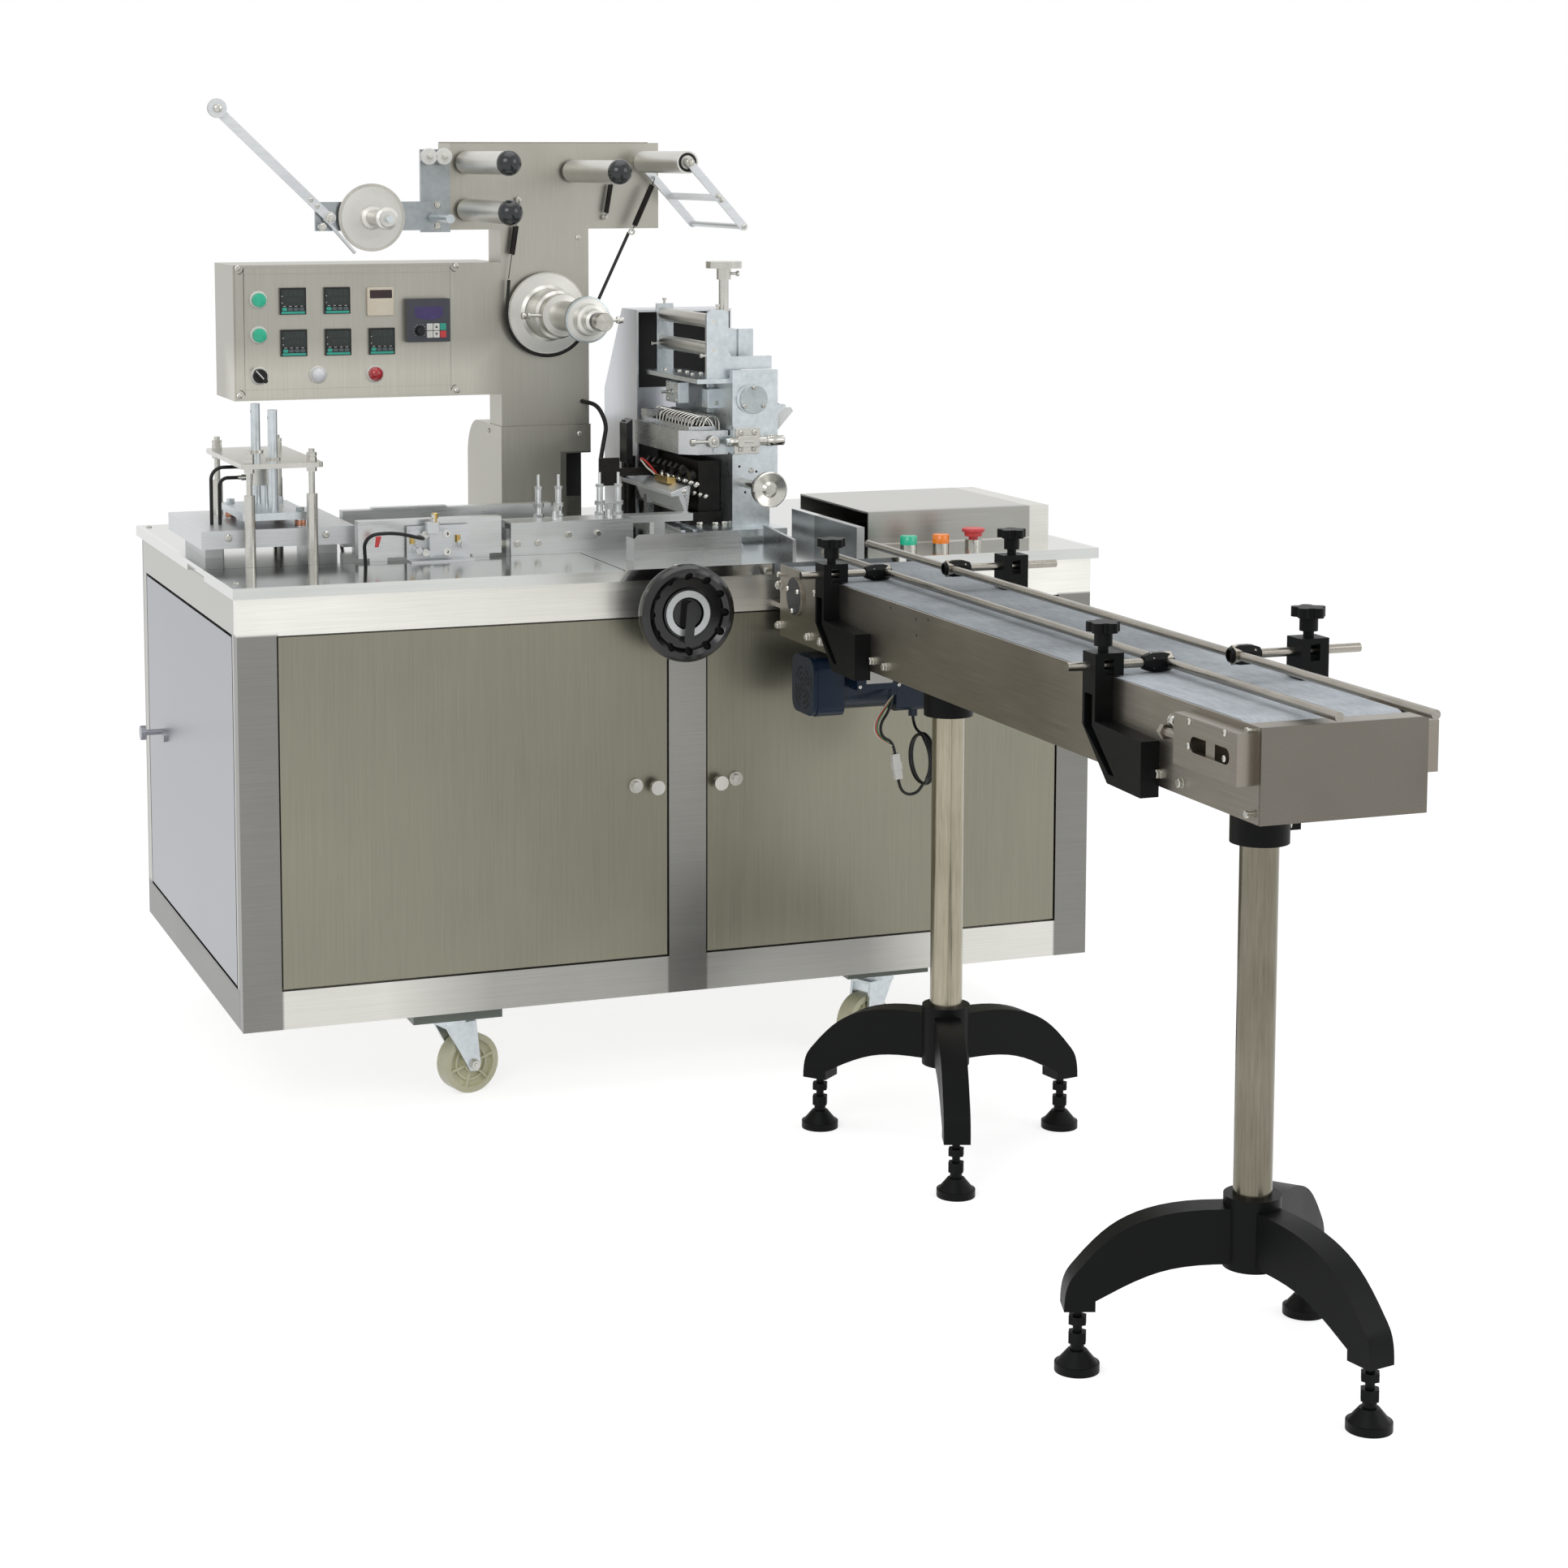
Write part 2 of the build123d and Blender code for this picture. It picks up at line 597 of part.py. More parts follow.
# Press station: block, four stepped posts, bridge plate with its cylinder, and the moving plate
press_middle = 134
cylinder_y = 388
block_bottom = table_height + 26
block_top = block_bottom + 30
plate_bottom = block_top + 14
bridge_bottom = plate_bottom + 91
port_heights = (bridge_bottom - 9, bridge_bottom - 27)
press_posts = [(press_middle - 52, 260), (press_middle + 52, 260), (press_middle - 52, 530), (press_middle + 52, 530)]
press_rods = [(press_middle, 319), (press_middle, 457)]
press_feet = [(press_middle - 42, 306), (press_middle + 42, 306), (press_middle - 42, 470), (press_middle + 42, 470)]
with BuildPart() as press_block:
    block(level(block_bottom), press_middle - 127, 290, 258, 300, block_top - block_bottom)
    block(level(table_height), 30, 380, 30, 180, block_bottom - table_height)
    block(level(table_height), 225, 380, 30, 180, block_bottom - table_height)
    rod(level(block_bottom), press_posts[2:], 9 + seat_gap, 40, Mode.SUBTRACT)
save(press_block, "press_block")

with BuildPart() as press_stand:
    rod(level(table_height), press_posts, 9, bridge_bottom - 45 - table_height)
    rod(level(bridge_bottom - 45), press_posts, 5, 74)
    block(level(bridge_bottom), press_middle - 68, 240, 136, 310, 8, corner=8)
    hexagon(level(bridge_bottom - 8), press_posts, 15, 8)
    hexagon(level(bridge_bottom + 8), press_posts, 15, 8)
    hexagon(level(bridge_bottom + 17), press_posts, 15, 6)
    rod(level(bridge_bottom + 8), press_rods, 13, 3)
    rod(level(bridge_bottom), press_rods, 8 + running_gap, 11, Mode.SUBTRACT)
    block(level(bridge_bottom), press_middle - 25, cylinder_y - 25, 50, 50, -40, corner=5)
    rod(level(bridge_bottom - 40), [(press_middle, cylinder_y)], 6 + running_gap, 38, Mode.SUBTRACT)
    for z in port_heights:
        rod(flank(press_middle - 25), [(cylinder_y - 8, z)], 5, -16)
        rod(flank(press_middle - 41), [(cylinder_y - 8, z)], 3.5, -6)
save(press_stand, "press_stand")

with BuildPart() as press_plate:
    block(level(plate_bottom), press_middle - 56, 292, 112, 192, 12, corner=4)
    rod(level(plate_bottom + 12), press_rods, 8, 169)
    rod(flank(press_middle - 14), [(y, bridge_bottom + 77) for x, y in press_rods], 2.5, 28, Mode.SUBTRACT)
    rod(level(plate_bottom + 12), [(press_middle, cylinder_y)], 6, 41)
    rod(level(plate_bottom), press_feet, 9, block_top + seat_gap - plate_bottom)
    hexagon(level(plate_bottom + 12), press_feet, 12, 7)
save(press_plate, "press_plate")

# Product guides on the table: two rows of blocks, the folded angles with their adjusting studs,
# and the outfeed bars
row_bottom = table_height + 6
row_top = row_bottom + 62
angle_top = table_height + 54
folded_height = table_height + 36
front_row = 240
rear_row = 400
row_depth = 24
port_height = row_bottom + 37
adjuster_spots = [(596, 328), (630, 322), (706, 328), (738, 322)]
guide_bolts = [(607, 268), (704, 268)]
with BuildPart() as table_guides:
    for start, y, end in ((258, front_row, 504), (270, rear_row, 640)):
        block(level(row_bottom), start, y, end - start, row_depth, row_top - row_bottom)
        for x in (start + 20, end - 50):
            block(level(table_height), x, y + 4, 30, row_depth - 8, row_bottom - table_height)
    block(level(row_top + seat_gap), 320, rear_row - 10, 130, 20, 4)
    plate(flank(523), [(248, table_height), (248, angle_top), (306, angle_top), (306, angle_top - 3),
                       (252, angle_top - 3), (252, table_height)], 217)
    block(level(angle_top - 16), 530, 308, 340, 34, 13)
    block(level(table_height), 540, 314, 20, 22, 38)
    block(level(table_height), 800, 314, 20, 22, 38)
    plate(facing(91), [(689, table_height), (879, table_height), (879, folded_height), (871, folded_height + 9),
                       (697, folded_height + 9), (689, folded_height)], -3)
    block(level(table_height), 689, 91, 3, 42, 38)
    block(level(table_height), 876, 91, 3, 42, 38)
    plate(level(table_height), [(conveyor_left + 52, 58), (conveyor_left + 58, 58), (conveyor_left + 86, 272),
                                (conveyor_left + 80, 272)], 30)
    block(level(table_height), conveyor_left + 173, 70, 14, 300, 44)
    hexagon(level(angle_top - 3 + seat_gap), adjuster_spots, 16, 7)
    rod(level(angle_top + 4), adjuster_spots, 6, 12)
    hexagon(level(angle_top + 16), adjuster_spots, 16, 7)
    rod(level(angle_top + 23), adjuster_spots, 5.5, 24)
    hexagon(level(angle_top + 47), adjuster_spots, 13, 5)
    rod(level(angle_top + 52), adjuster_spots, 2.5, 20)
    rod(level(angle_top + seat_gap), guide_bolts, 6, 16)
    hexagon(level(angle_top + 16), guide_bolts, 17, 8)
    rod(facing(rear_row + row_depth + 16), [(364, port_height)], 5, 16)
save(table_guides, "table_guides")

# Pusher cylinder in front of the guide row, on its zinc angle
body_bottom = table_height + 10
body_top = body_bottom + 38
angle_rise = table_height + 58
fittings = [(354, port_height), (354, port_height - 24), (431, port_height - 17)]
with BuildPart() as guide_cylinder:
    plate(flank(338), [(200, table_height), (200, table_height + 3), (229, table_height + 3), (229, angle_rise),
                       (232, angle_rise), (232, table_height)], 108)
    block(facing(229), 373, body_bottom, 38, 38, 14, corner=4)
    for x in (376, 408):
        rod(facing(229), [(x, body_bottom + 3), (x, body_top - 3)], 5.5, 16)
    rod(facing(229), fittings, 8, 6)
    rod(facing(223), fittings, 5.5, 14)
    block(level(body_top), 366, 205, 22, 16, 18, corner=3)
    rod(level(body_top + 18), [(380, 213)], 3, 7)
    rod(level(body_top + 25), [(380, 213)], 5, 6)
save(guide_cylinder, "guide_cylinder")

# Air tubes of the press, the pusher and the rear guide, and the sensor's conduit out of the column
press_port_x = press_middle - 47
press_port_y = cylinder_y - 8
tube_foot = block_top + seat_gap
with BuildPart() as air_tubes:
    for reach, height in zip((45, 31), port_heights):
        tube([(press_port_x, press_port_y, height), (press_port_x - reach, press_port_y, height),
              (press_port_x - reach, press_port_y, tube_foot)], 3)
    tube([(257, 186, table_height), (250, 168, port_height + 11), (300, 158, port_height + 15),
          (354, 168, port_height), (354, 209, port_height)], 3)
    tube([(364, rear_row + row_depth + 16, port_height), (364, 480, port_height), (296, 500, port_height - 9),
          (290, 500, table_height)], 3)
    tube([(head_left - 68, column_front, shroud_top + 43), (head_left - 50, column_front - 38, shroud_top + 39),
          (head_left - 42, column_front - 70, shroud_top + 5), (head_left - 65, column_front - 115, shroud_top - 33),
          (head_left - 85, head_back - 40, shroud_top - 60), (head_left - 85, head_back - 90, shroud_top - 65)], 4)
save(air_tubes, "air_tubes")

# Wrapping head: tower, frame, rollers, screw, forming block and sealing parts.
# Its heights count from the table top.
tower_left = head_left
tower_width = 184
tower_front = head_back
tower_back = tower_front + 193
tower_height = 388
with BuildPart() as head_tower:
    outer = [(tower_front, 0), (tower_back, 0), (tower_back, 232), (tower_back - 106, tower_height),
             (tower_front, tower_height)]
    inner = [(tower_front, 4), (tower_back - 4, 4), (tower_back - 4, 230), (tower_back - 108, tower_height - 4),
             (tower_front, tower_height - 4)]
    plate(deck_flank(tower_left), outer, tower_width)
    plate(deck_flank(tower_left + 3), inner, tower_width - 6, Mode.SUBTRACT)
    block(deck_facing(tower_front + 60), tower_left + 3, 4, tower_width - 6, tower_height - 8, 4)
save(head_tower, "head_tower")

head_roller_x = tower_left + 50
head_roller_heights = (380, 330)
screw_x = tower_left + 99
screw_y = head_front + 98
plate_left = tower_left + 75
plate_width = 85
knob_x = plate_left + 20
knob_height = 98
with BuildPart() as head_frame:
    block(deck_facing(head_front), plate_left, 52, plate_width, 243, 12)
    block(deck_facing(head_front), plate_left, 0, plate_width - 15, 52, 12)
    plate(deck_facing(head_front + 21), [(tower_left + 36, 280), (plate_left + 2, 280), (plate_left + 2, 295),
                                         (plate_left + 83, 295), (plate_left + 83, 318), (plate_left + 8, 318),
                                         (plate_left + 2, 326), (plate_left + 2, 392), (plate_left - 6, 400),
                                         (tower_left + 42, 400), (tower_left + 36, 392)], 8)
    block(deck_facing(tower_front), tower_left + 36, 280, 32, 120, 8)
    block(deck(272), tower_left + 14, head_front, 71, tower_front - head_front, 8)
    block(deck(280), plate_left, screw_y - 25, 48, 50, 82)
    block(deck_facing(screw_y - 25), screw_x + 17, 313, 28, 50, 5)
    rod(deck_facing(head_front - 12), [(plate_left + 32, 245)], 25, 4)
    block(deck_facing(head_front - 12), plate_left, 147, 50, 50, 5)
    rod(deck_flank(plate_left - 16), [(head_front - 21, 171)], 7.5, 104)
    plate(deck_facing(head_front - 12 + 17), [(plate_left + 46, 188), (plate_left + 60, 176), (plate_left + 108, 218),
                                              (plate_left + 104, 232), (plate_left + 92, 234)], 5)
    block(deck(20), plate_left, head_front, 12, tower_front - head_front, 252)
    block(deck(0), tower_left - 14, head_front - 160, 54, tower_front - head_front + 160 - seat_gap, 8)
    block(deck(8), tower_left + 10, head_front - 60, 150, tower_front - head_front + 60 - seat_gap, 12)
    block(deck(150), plate_left - 30, head_front, 31, 5 - seat_gap, 30)
    rod(deck(285), [(screw_x, screw_y)], 9 + running_gap, 80, Mode.SUBTRACT)
    for y in (tower_front, head_front + 21):
        rod(facing(y), [(head_roller_x, table_height + h) for h in head_roller_heights],
            4 + running_gap, 8, Mode.SUBTRACT)
    rod(deck_facing(head_front), [(knob_x, knob_height)], 8 + running_gap, 12, Mode.SUBTRACT)
save(head_frame, "head_frame")

roller_space = tower_front - head_front - 29
for number, height in enumerate(head_roller_heights, start=1):
    with BuildPart() as head_roller:
        rod(deck_facing(tower_front - 9), [(head_roller_x, height)], 12.5, roller_space - 2)
        rod(deck_facing(tower_front), [(head_roller_x, height)], 4, roller_space + 16)
    save(head_roller, f"head_roller_{number}")

with BuildPart() as head_screw:
    rod(deck(287), [(screw_x, screw_y)], 9, 181)
    rod(deck(450), [(screw_x, screw_y)], 13, 20)
    rod(deck(470), [(screw_x, screw_y)], 32.5, 12)
    rod(deck_flank(screw_x + 12), [(screw_y, 460)], 2.5, 12)
    rod(deck_flank(screw_x + 24), [(screw_y, 460)], 5, 4)
save(head_screw, "head_screw")

with BuildPart() as head_knob:
    turned(knob_x, table_height + knob_height, [(-1, 0), (-1, 8), (-110, 8), (-112, 12), (-128, 12), (-130, 30),
                                                (-137, 31), (-145, 31), (-147, 29), (-143, 14), (-147, 9),
                                                (-147, 0)], head_front)
save(head_knob, "head_knob")

# Forming block: a long casting with a chamfered nose, its hold-down clamps, and the sealing jaw below
block_left = tower_left - 10
block_back = tower_front - 5
jaw_left = tower_left - 26
with BuildPart() as forming_block:
    plate(deck(147), [(plate_left - 2, head_front + 5), (plate_left - 2, block_back), (block_left + 14, block_back),
                      (block_left, block_back - 12), (block_left, head_front + 32), (block_left + 27, head_front + 5)],
          42)
    block(deck(189), block_left + 22, head_front + 40, 50, 240, 5)
    block(deck(200), block_left + 4, block_back - 70, 46, 34, 12)
    block(deck(189), block_left + 4, block_back - 50, 20, 10, 12)
    plate(deck_facing(head_front + 8), [(jaw_left, 84), (jaw_left + 26, 94), (jaw_left + 30, 92), (jaw_left + 24, 44),
                                        (jaw_left + 18, 44), (jaw_left + 20, 84), (jaw_left, 76)], -272)
    block(deck(8 + seat_gap), jaw_left + 14, head_front + 200, 14, 16, 72)
save(forming_block, "forming_block")

# Folding mechanism in black steel, with its sensor arm
with BuildPart() as head_mechanism:
    block(deck(20), tower_left + 14, head_front + 40, 60, 240, 22)
    block(deck(42), tower_left + 34, head_front + 50, 40, 220, 90)
    plate(deck_facing(head_front + 60), [(tower_left + 10, 100), (tower_left + 18, 110), (tower_left + 40, 80),
                                         (tower_left + 40, 60)], -220)
    for count in range(7):
        y = head_front + 66 + 30 * count
        plate(deck_facing(y), [(tower_left + 6, 116), (tower_left + 12, 124), (tower_left + 36, 104),
                               (tower_left + 36, 92)], -12)
    block(deck_facing(tower_front - 90), tower_left - 104, 78, 38, 50, 6)
    block(deck_facing(tower_front - 84), tower_left - 66, 94, 102, 14, 8)
    block(deck_facing(tower_front + 14), tower_left - 16, 0, 14, 120, 10)
save(head_mechanism, "head_mechanism")

# Cover box over the outfeed with the control buttons in front
hood_left = table_length - 357
hood_front = 172
hood_depth = 318
with BuildPart() as cover_box:
    block(level(table_height), hood_left, hood_front, 345, hood_depth, 56)
    block(flank(hood_left), hood_front + 3, table_height, hood_depth - 6, 53, 300, Mode.SUBTRACT)
save(cover_box, "cover_box")

with BuildPart() as emergency_stop:
    rod(level(table_height + 6), [stop_spot], 8, 14)
    rod(level(table_height + 20), [stop_spot], 15, 5)
    rod(level(table_height + 25), [stop_spot], 20, 9)
save(emergency_stop, "emergency_stop")

# Handwheel on the cabinet's top rail
with BuildPart() as handwheel:
    turned(wheel_x, wheel_z, [(-37, 8 + running_gap), (-37, 24), (-58, 26), (-62, 60), (-60, 74), (-66, 79),
                              (-74, 80), (-84, 79), (-90, 74), (-92, 68), (-86, 60), (-80, 57), (-80, 43),
                              (-84, 41), (-84, 26), (-80, 24), (-80, 0), (-74, 0), (-74, 8 + running_gap)],
           cabinet_front)
    with BuildSketch(facing(cabinet_front - 80)) as handle:
        with Locations((wheel_x, wheel_z - 14)):
            SlotOverall(70, 16, rotation=85)
    extrude(handle.sketch, amount=15)
    with BuildSketch(facing(cabinet_front - 96)) as grips:
        with Locations((wheel_x, wheel_z)):
            with PolarLocations(61, 12):
                Circle(6.5)
    extrude(grips.sketch, amount=-30, mode=Mode.SUBTRACT)
save(handwheel, "handwheel")

# Conveyor frame: folded side plates, slider bed, end cover and the two belt tensioners
conveyor_bottom = table_height - conveyor_height
conveyor_length = conveyor_start - conveyor_end
conveyor_right = conveyor_left + conveyor_width
belt_end = -1548
belt_thickness = 4
belt_drum = 62
drum_spots = ((conveyor_start - 8 - belt_drum / 2), (belt_end + belt_drum / 2))
tensioner_length = 156
tensioner_height = 64
tensioner_start = -1566
tensioner_bottom = table_height - 72
tensioner_reach = 24
screw_z = tensioner_bottom + 32
with BuildPart() as conveyor_frame:
    block(level(conveyor_bottom), conveyor_left, conveyor_end, conveyor_width, conveyor_length, conveyor_height)
    block(level(conveyor_bottom + side_plate), conveyor_left + side_plate, conveyor_end + side_plate,
          conveyor_width - 2 * side_plate, conveyor_length - side_plate, conveyor_height, Mode.SUBTRACT)
    block(level(table_height - side_plate), conveyor_left + side_plate, conveyor_end,
          conveyor_width - 2 * side_plate, belt_end - conveyor_end - seat_gap, side_plate)
    block(level(table_height - 74), conveyor_left + side_plate, conveyor_start - 60, conveyor_width - 2 * side_plate,
          60 - conveyor_start + cabinet_front - seat_gap, 8)
    block(level(table_height - belt_drum + belt_thickness + seat_gap), conveyor_left + side_plate, drum_spots[1],
          conveyor_width - 2 * side_plate, drum_spots[0] - drum_spots[1],
          belt_drum - 2 * belt_thickness - 2 * seat_gap)
    rod(flank(conveyor_left), [(-91, table_height - 44)], 31, -3)
    for face, outward in ((flank(conveyor_left), -1), (flank(conveyor_right), 1)):
        block(face, tensioner_start, tensioner_bottom, tensioner_length, tensioner_height,
              outward * tensioner_reach)
        with BuildSketch(face) as window:
            with Locations((tensioner_start + tensioner_length / 2 - 12, tensioner_bottom + tensioner_height / 2)):
                SlotOverall(96, 20)
        extrude(window.sketch, amount=outward * tensioner_reach, mode=Mode.SUBTRACT)
        block(face, tensioner_start + 62, tensioner_bottom + tensioner_height / 2 - 10, 22, 20,
              outward * (tensioner_reach - 5))
    rod(facing(tensioner_start + tensioner_length), [(conveyor_left - 13, screw_z), (conveyor_right + 13, screw_z)], 6, -46)
    hexagon(facing(tensioner_start + tensioner_length + 36),
            [(conveyor_left - 13, screw_z), (conveyor_right + 13, screw_z)], 18, -9)
save(conveyor_frame, "conveyor_frame")

belt_width = conveyor_width - 2 * side_plate - 6
belt_left = conveyor_left + side_plate + 3
belt_reach = drum_spots[0] - drum_spots[1] + belt_drum
with BuildPart() as conveyor_belt:
    with BuildSketch(flank(belt_left)) as loop:
        with Locations(((drum_spots[0] + drum_spots[1]) / 2, table_height - belt_drum / 2)):
            SlotOverall(belt_reach, belt_drum)
            SlotOverall(belt_reach - 2 * belt_thickness, belt_drum - 2 * belt_thickness, mode=Mode.SUBTRACT)
    extrude(loop.sketch, amount=belt_width)
save(conveyor_belt, "conveyor_belt")

# Guide rail brackets: a clamp head with a window, a channelled stem and a foot on the side plate
near_brackets = (-255, -1185)
far_brackets = (-405, -1290)
head_rise = 18
head_middle = bracket_reach - 6
gusset_top = table_height - 60
foot_reach = 145
foot_bottom = table_height - 130
knob_rise = 8
with BuildPart() as rail_brackets:
    for plate_x, outward, rail_z, places in ((conveyor_left, -1, rail_height, near_brackets),
                                             (conveyor_right, 1, far_rail_height, far_brackets)):
        face = flank(plate_x)
        lift = rail_z - rail_height
        head_top = rail_z + head_rise
        gusset_z = gusset_top + lift
        foot_z = foot_bottom + lift
        centre = plate_x + outward * (bracket_reach - head_middle)
        for y in places:
            toward = -outward
            back = y + toward * bracket_width / 2
            ahead = y - toward * bracket_width / 2
            tip_y = y - toward * foot_reach
            outline = [(back, head_top), (back, gusset_z - 4), (back - toward * 72, foot_z), (tip_y, foot_z - 2),
                       (tip_y, gusset_z), (ahead, gusset_z + 4), (ahead, head_top)]
            plate(face, outline, outward * bracket_reach)
            recess = [(back - toward * 6, rail_z - 36), (back - toward * 6, gusset_z - 6),
                      (back - toward * 76, foot_z + 12), (back - toward * 92, foot_z + 12),
                      (ahead + toward * 8, gusset_z - 2), (ahead + toward * 8, rail_z - 36)]
            plate(flank(plate_x + outward * bracket_reach), recess, -outward * 12, Mode.SUBTRACT)
            block(face, y - bracket_width / 2, table_height + 2, bracket_width, head_top - table_height - 2,
                  -outward * 15)
            block(facing(y + bracket_width / 2), centre - 7, rail_z - 11, 14, 22, bracket_width, Mode.SUBTRACT)
            rod(flank(plate_x - 30), [(y, rail_z)], rail_radius + running_gap, 60, Mode.SUBTRACT)
            rod(level(head_top), [(centre, y)], 7, knob_rise)
            rod(level(head_top + knob_rise), [(centre, y)], 12, 18)
            with BuildSketch(level(head_top + knob_rise + 18)) as star:
                with Locations((centre, y)):
                    Circle(17)
                    with PolarLocations(15, 5):
                        Circle(8)
            extrude(star.sketch, amount=13)
save(rail_brackets, "rail_brackets")

# Guide rails, each with its two rods and knuckle clamps
for name, rail_x, rail_z, rail_start, rail_end, rod_end, places in (
        ("near", near_rail_x, rail_height, near_rail_start, near_rail_end, conveyor_left - 58, near_brackets),
        ("far", far_rail_x, far_rail_height, far_rail_start, far_rail_end, conveyor_right + 82, far_brackets)):
    with BuildPart() as rail:
        rod(facing(rail_start), [(rail_x, rail_z)], rail_radius, rail_start - rail_end)
        for y in places:
            rod(flank(min(rail_x, rod_end)), [(y, rail_z)], rail_radius, abs(rail_x - rod_end))
            with BuildSketch(flank(rail_x - (22 if rod_end < rail_x else 8))) as knuckle:
                with Locations((y, rail_z)):
                    RegularPolygon(13, 6, rotation=30)
            extrude(knuckle.sketch, amount=rail_clamp)
    save(rail, f"{name}_rail")

# Drive motor under the conveyor, with its fan cover, terminal box, cable gland and gearbox
motor_y = -110
motor_z = conveyor_bottom - 68
gland_x = conveyor_left + 137
gland_y = motor_y - 60
terminal_bottom = motor_z - 2
gearbox_bottom = motor_z - 46
second_gland = (conveyor_left + 189, motor_y - 24)
gland_length = 12
with BuildPart() as drive_motor:
    block(flank(conveyor_left + 4), motor_y - 47, motor_z - 47, 94, 94, 8, corner=20)
    block(flank(conveyor_left + 12), motor_y - 48, motor_z - 48, 96, 96, 46, corner=18)
    rod(flank(conveyor_left + 58), [(motor_y, motor_z)], 43, 92)
    block(flank(conveyor_left + 69), motor_y - 74, terminal_bottom, 34, 40, 78)
    block(flank(conveyor_left + 150), motor_y - 46, gearbox_bottom, 92, 92, 62, corner=10)
    block(flank(conveyor_left + 212), motor_y - 46, gearbox_bottom, 92, conveyor_bottom - gearbox_bottom, 8)
    hexagon(level(terminal_bottom), [(gland_x, gland_y)], 14, -gland_length)
    hexagon(level(gearbox_bottom), [second_gland], 14, -gland_length)
save(drive_motor, "drive_motor")

# Motor lead: a black sleeve that hangs in a loop, the plug, its tail down to the spare coil, and
# the last stretch from the coil up to the gearbox.
# The route points are table places.
lead_radius = 2.5
coil_middle = terminal_bottom - 121.5
lead_drop = [(gland_x, gland_y, terminal_bottom - gland_length), (gland_x - 4, gland_y - 1, terminal_bottom - 36),
             (gland_x - 24, gland_y - 4, terminal_bottom - 59), (gland_x - 20, gland_y - 4, terminal_bottom - 81),
             (gland_x + 1, gland_y - 2, terminal_bottom - 90), (gland_x + 4, gland_y - 2, terminal_bottom - 110)]
plug_length = 42
plug_top = Vector(*lead_drop[-1])
plug_axis = (plug_top - Vector(*lead_drop[-2])).normalized()
plug_foot = plug_top + plug_axis * plug_length
tail_start = plug_foot + plug_axis * 17
lead_tail = [(plug_foot.X, plug_foot.Y, plug_foot.Z), (tail_start.X, tail_start.Y, tail_start.Z),
             (gland_x + 27, gland_y - 2, coil_middle - 58.5), (gland_x + 45, gland_y - 2, coil_middle - 55.5),
             (gland_x + 53, gland_y - 1, coil_middle - 43.5)]
lead_rise = [(gland_x + 51, gland_y - 1.5, coil_middle + 42.3), (gland_x + 51, gland_y + 11, coil_middle + 43.3),
             (gland_x + 51.5, gland_y + 24.5, coil_middle + 47.5), (second_gland[0], second_gland[1] - 2.5, coil_middle + 57),
             (*second_gland, gearbox_bottom - gland_length)]
with BuildPart() as motor_lead:
    tube(lead_drop, lead_radius)
    tube(lead_tail, lead_radius)
    tube(lead_rise, lead_radius)
save(motor_lead, "motor_lead")

with BuildPart() as lead_connector:
    socket = Plane(origin=(left + plug_top.X, front + plug_top.Y, plug_top.Z), x_dir=(0, 1, 0), z_dir=plug_axis)
    block(socket, -4.5, -6.5, 9, 13, plug_length)
    block(socket.offset(14), -5.5, -7.5, 11, 15, 12)
save(lead_connector, "lead_connector")

coil_radius = 42
coil_bundle = 5.5
coil_centre = (left + gland_x + 51.5, front + gland_y, coil_middle)
coil_turn = radians(4)
with BuildPart(Plane(origin=coil_centre, z_dir=(cos(coil_turn), sin(coil_turn), 0))) as lead_coil:
    Torus(coil_radius, coil_bundle)
save(lead_coil, "lead_coil")

# Stands: tube posts between a collar under the conveyor and a cast tripod
collar_bottom = conveyor_bottom - 68
hub_top = 232
hub_bottom = 138
post_foot = 160
with BuildPart() as stand_posts:
    for y in post_places:
        rod(level(post_foot), [(post_x, y)], post_radius, conveyor_bottom - post_foot)
save(stand_posts, "stand_posts")

with BuildPart() as stand_castings:
    for y, turn in zip(post_places, stand_turns):
        ring(level(collar_bottom), [(post_x, y)], 38, post_radius, conveyor_bottom - collar_bottom)
        block(level(collar_bottom + 14), post_x + 30, y - 12, 22, 24, 24)
        rod(level(hub_bottom), [(post_x, y)], hub_radius, hub_top - hub_bottom)
        for step in (0, 120, 240):
            upright = level(0).location * Location((post_x, y, 0), (0, 0, turn + step)) * Location((0, 0, 0), (90, 0, 0))
            with BuildSketch(Plane(upright).offset(-leg_width / 2)) as leg:
                with BuildLine():
                    Spline((20, hub_top - 14), (110, 212), (178, 184), (224, 138), (stand_radius + 20, leg_foot),
                           tangents=((1, 0), (0, -1)))
                    Line((stand_radius + 20, leg_foot), (stand_radius - 20, leg_foot))
                    Line((stand_radius - 20, leg_foot), (stand_radius - 20, leg_foot + 14))
                    Spline((stand_radius - 20, leg_foot + 14), (120, 136), (20, 146),
                           tangents=((-1, 0.55), (-1, 0)))
                    Line((20, 146), (20, hub_top - 14))
                make_face()
            extrude(leg.sketch, amount=leg_width)
    rod(level(post_foot), [(post_x, y) for y in post_places], post_radius, conveyor_bottom, Mode.SUBTRACT)
save(stand_castings, "stand_castings")

with BuildPart() as levelling_feet:
    for y, turn in zip(post_places, stand_turns):
        spots = [(post_x + stand_radius * cos(radians(turn + step)), y + stand_radius * sin(radians(turn + step)))
                 for step in (0, 120, 240)]
        rod(level(0), spots, pad_radius, 11)
        with BuildSketch(level(11)) as cone:
            with Locations(*spots):
                Circle(pad_radius - 2)
        extrude(cone.sketch, amount=17, taper=40)
        rod(level(28), spots, 9, 9)
        hexagon(level(37), spots, 22, 15)
        rod(level(52), spots, 6, leg_foot - 52)
        hexagon(level(62), spots, 22, 11)
save(levelling_feet, "levelling_feet")
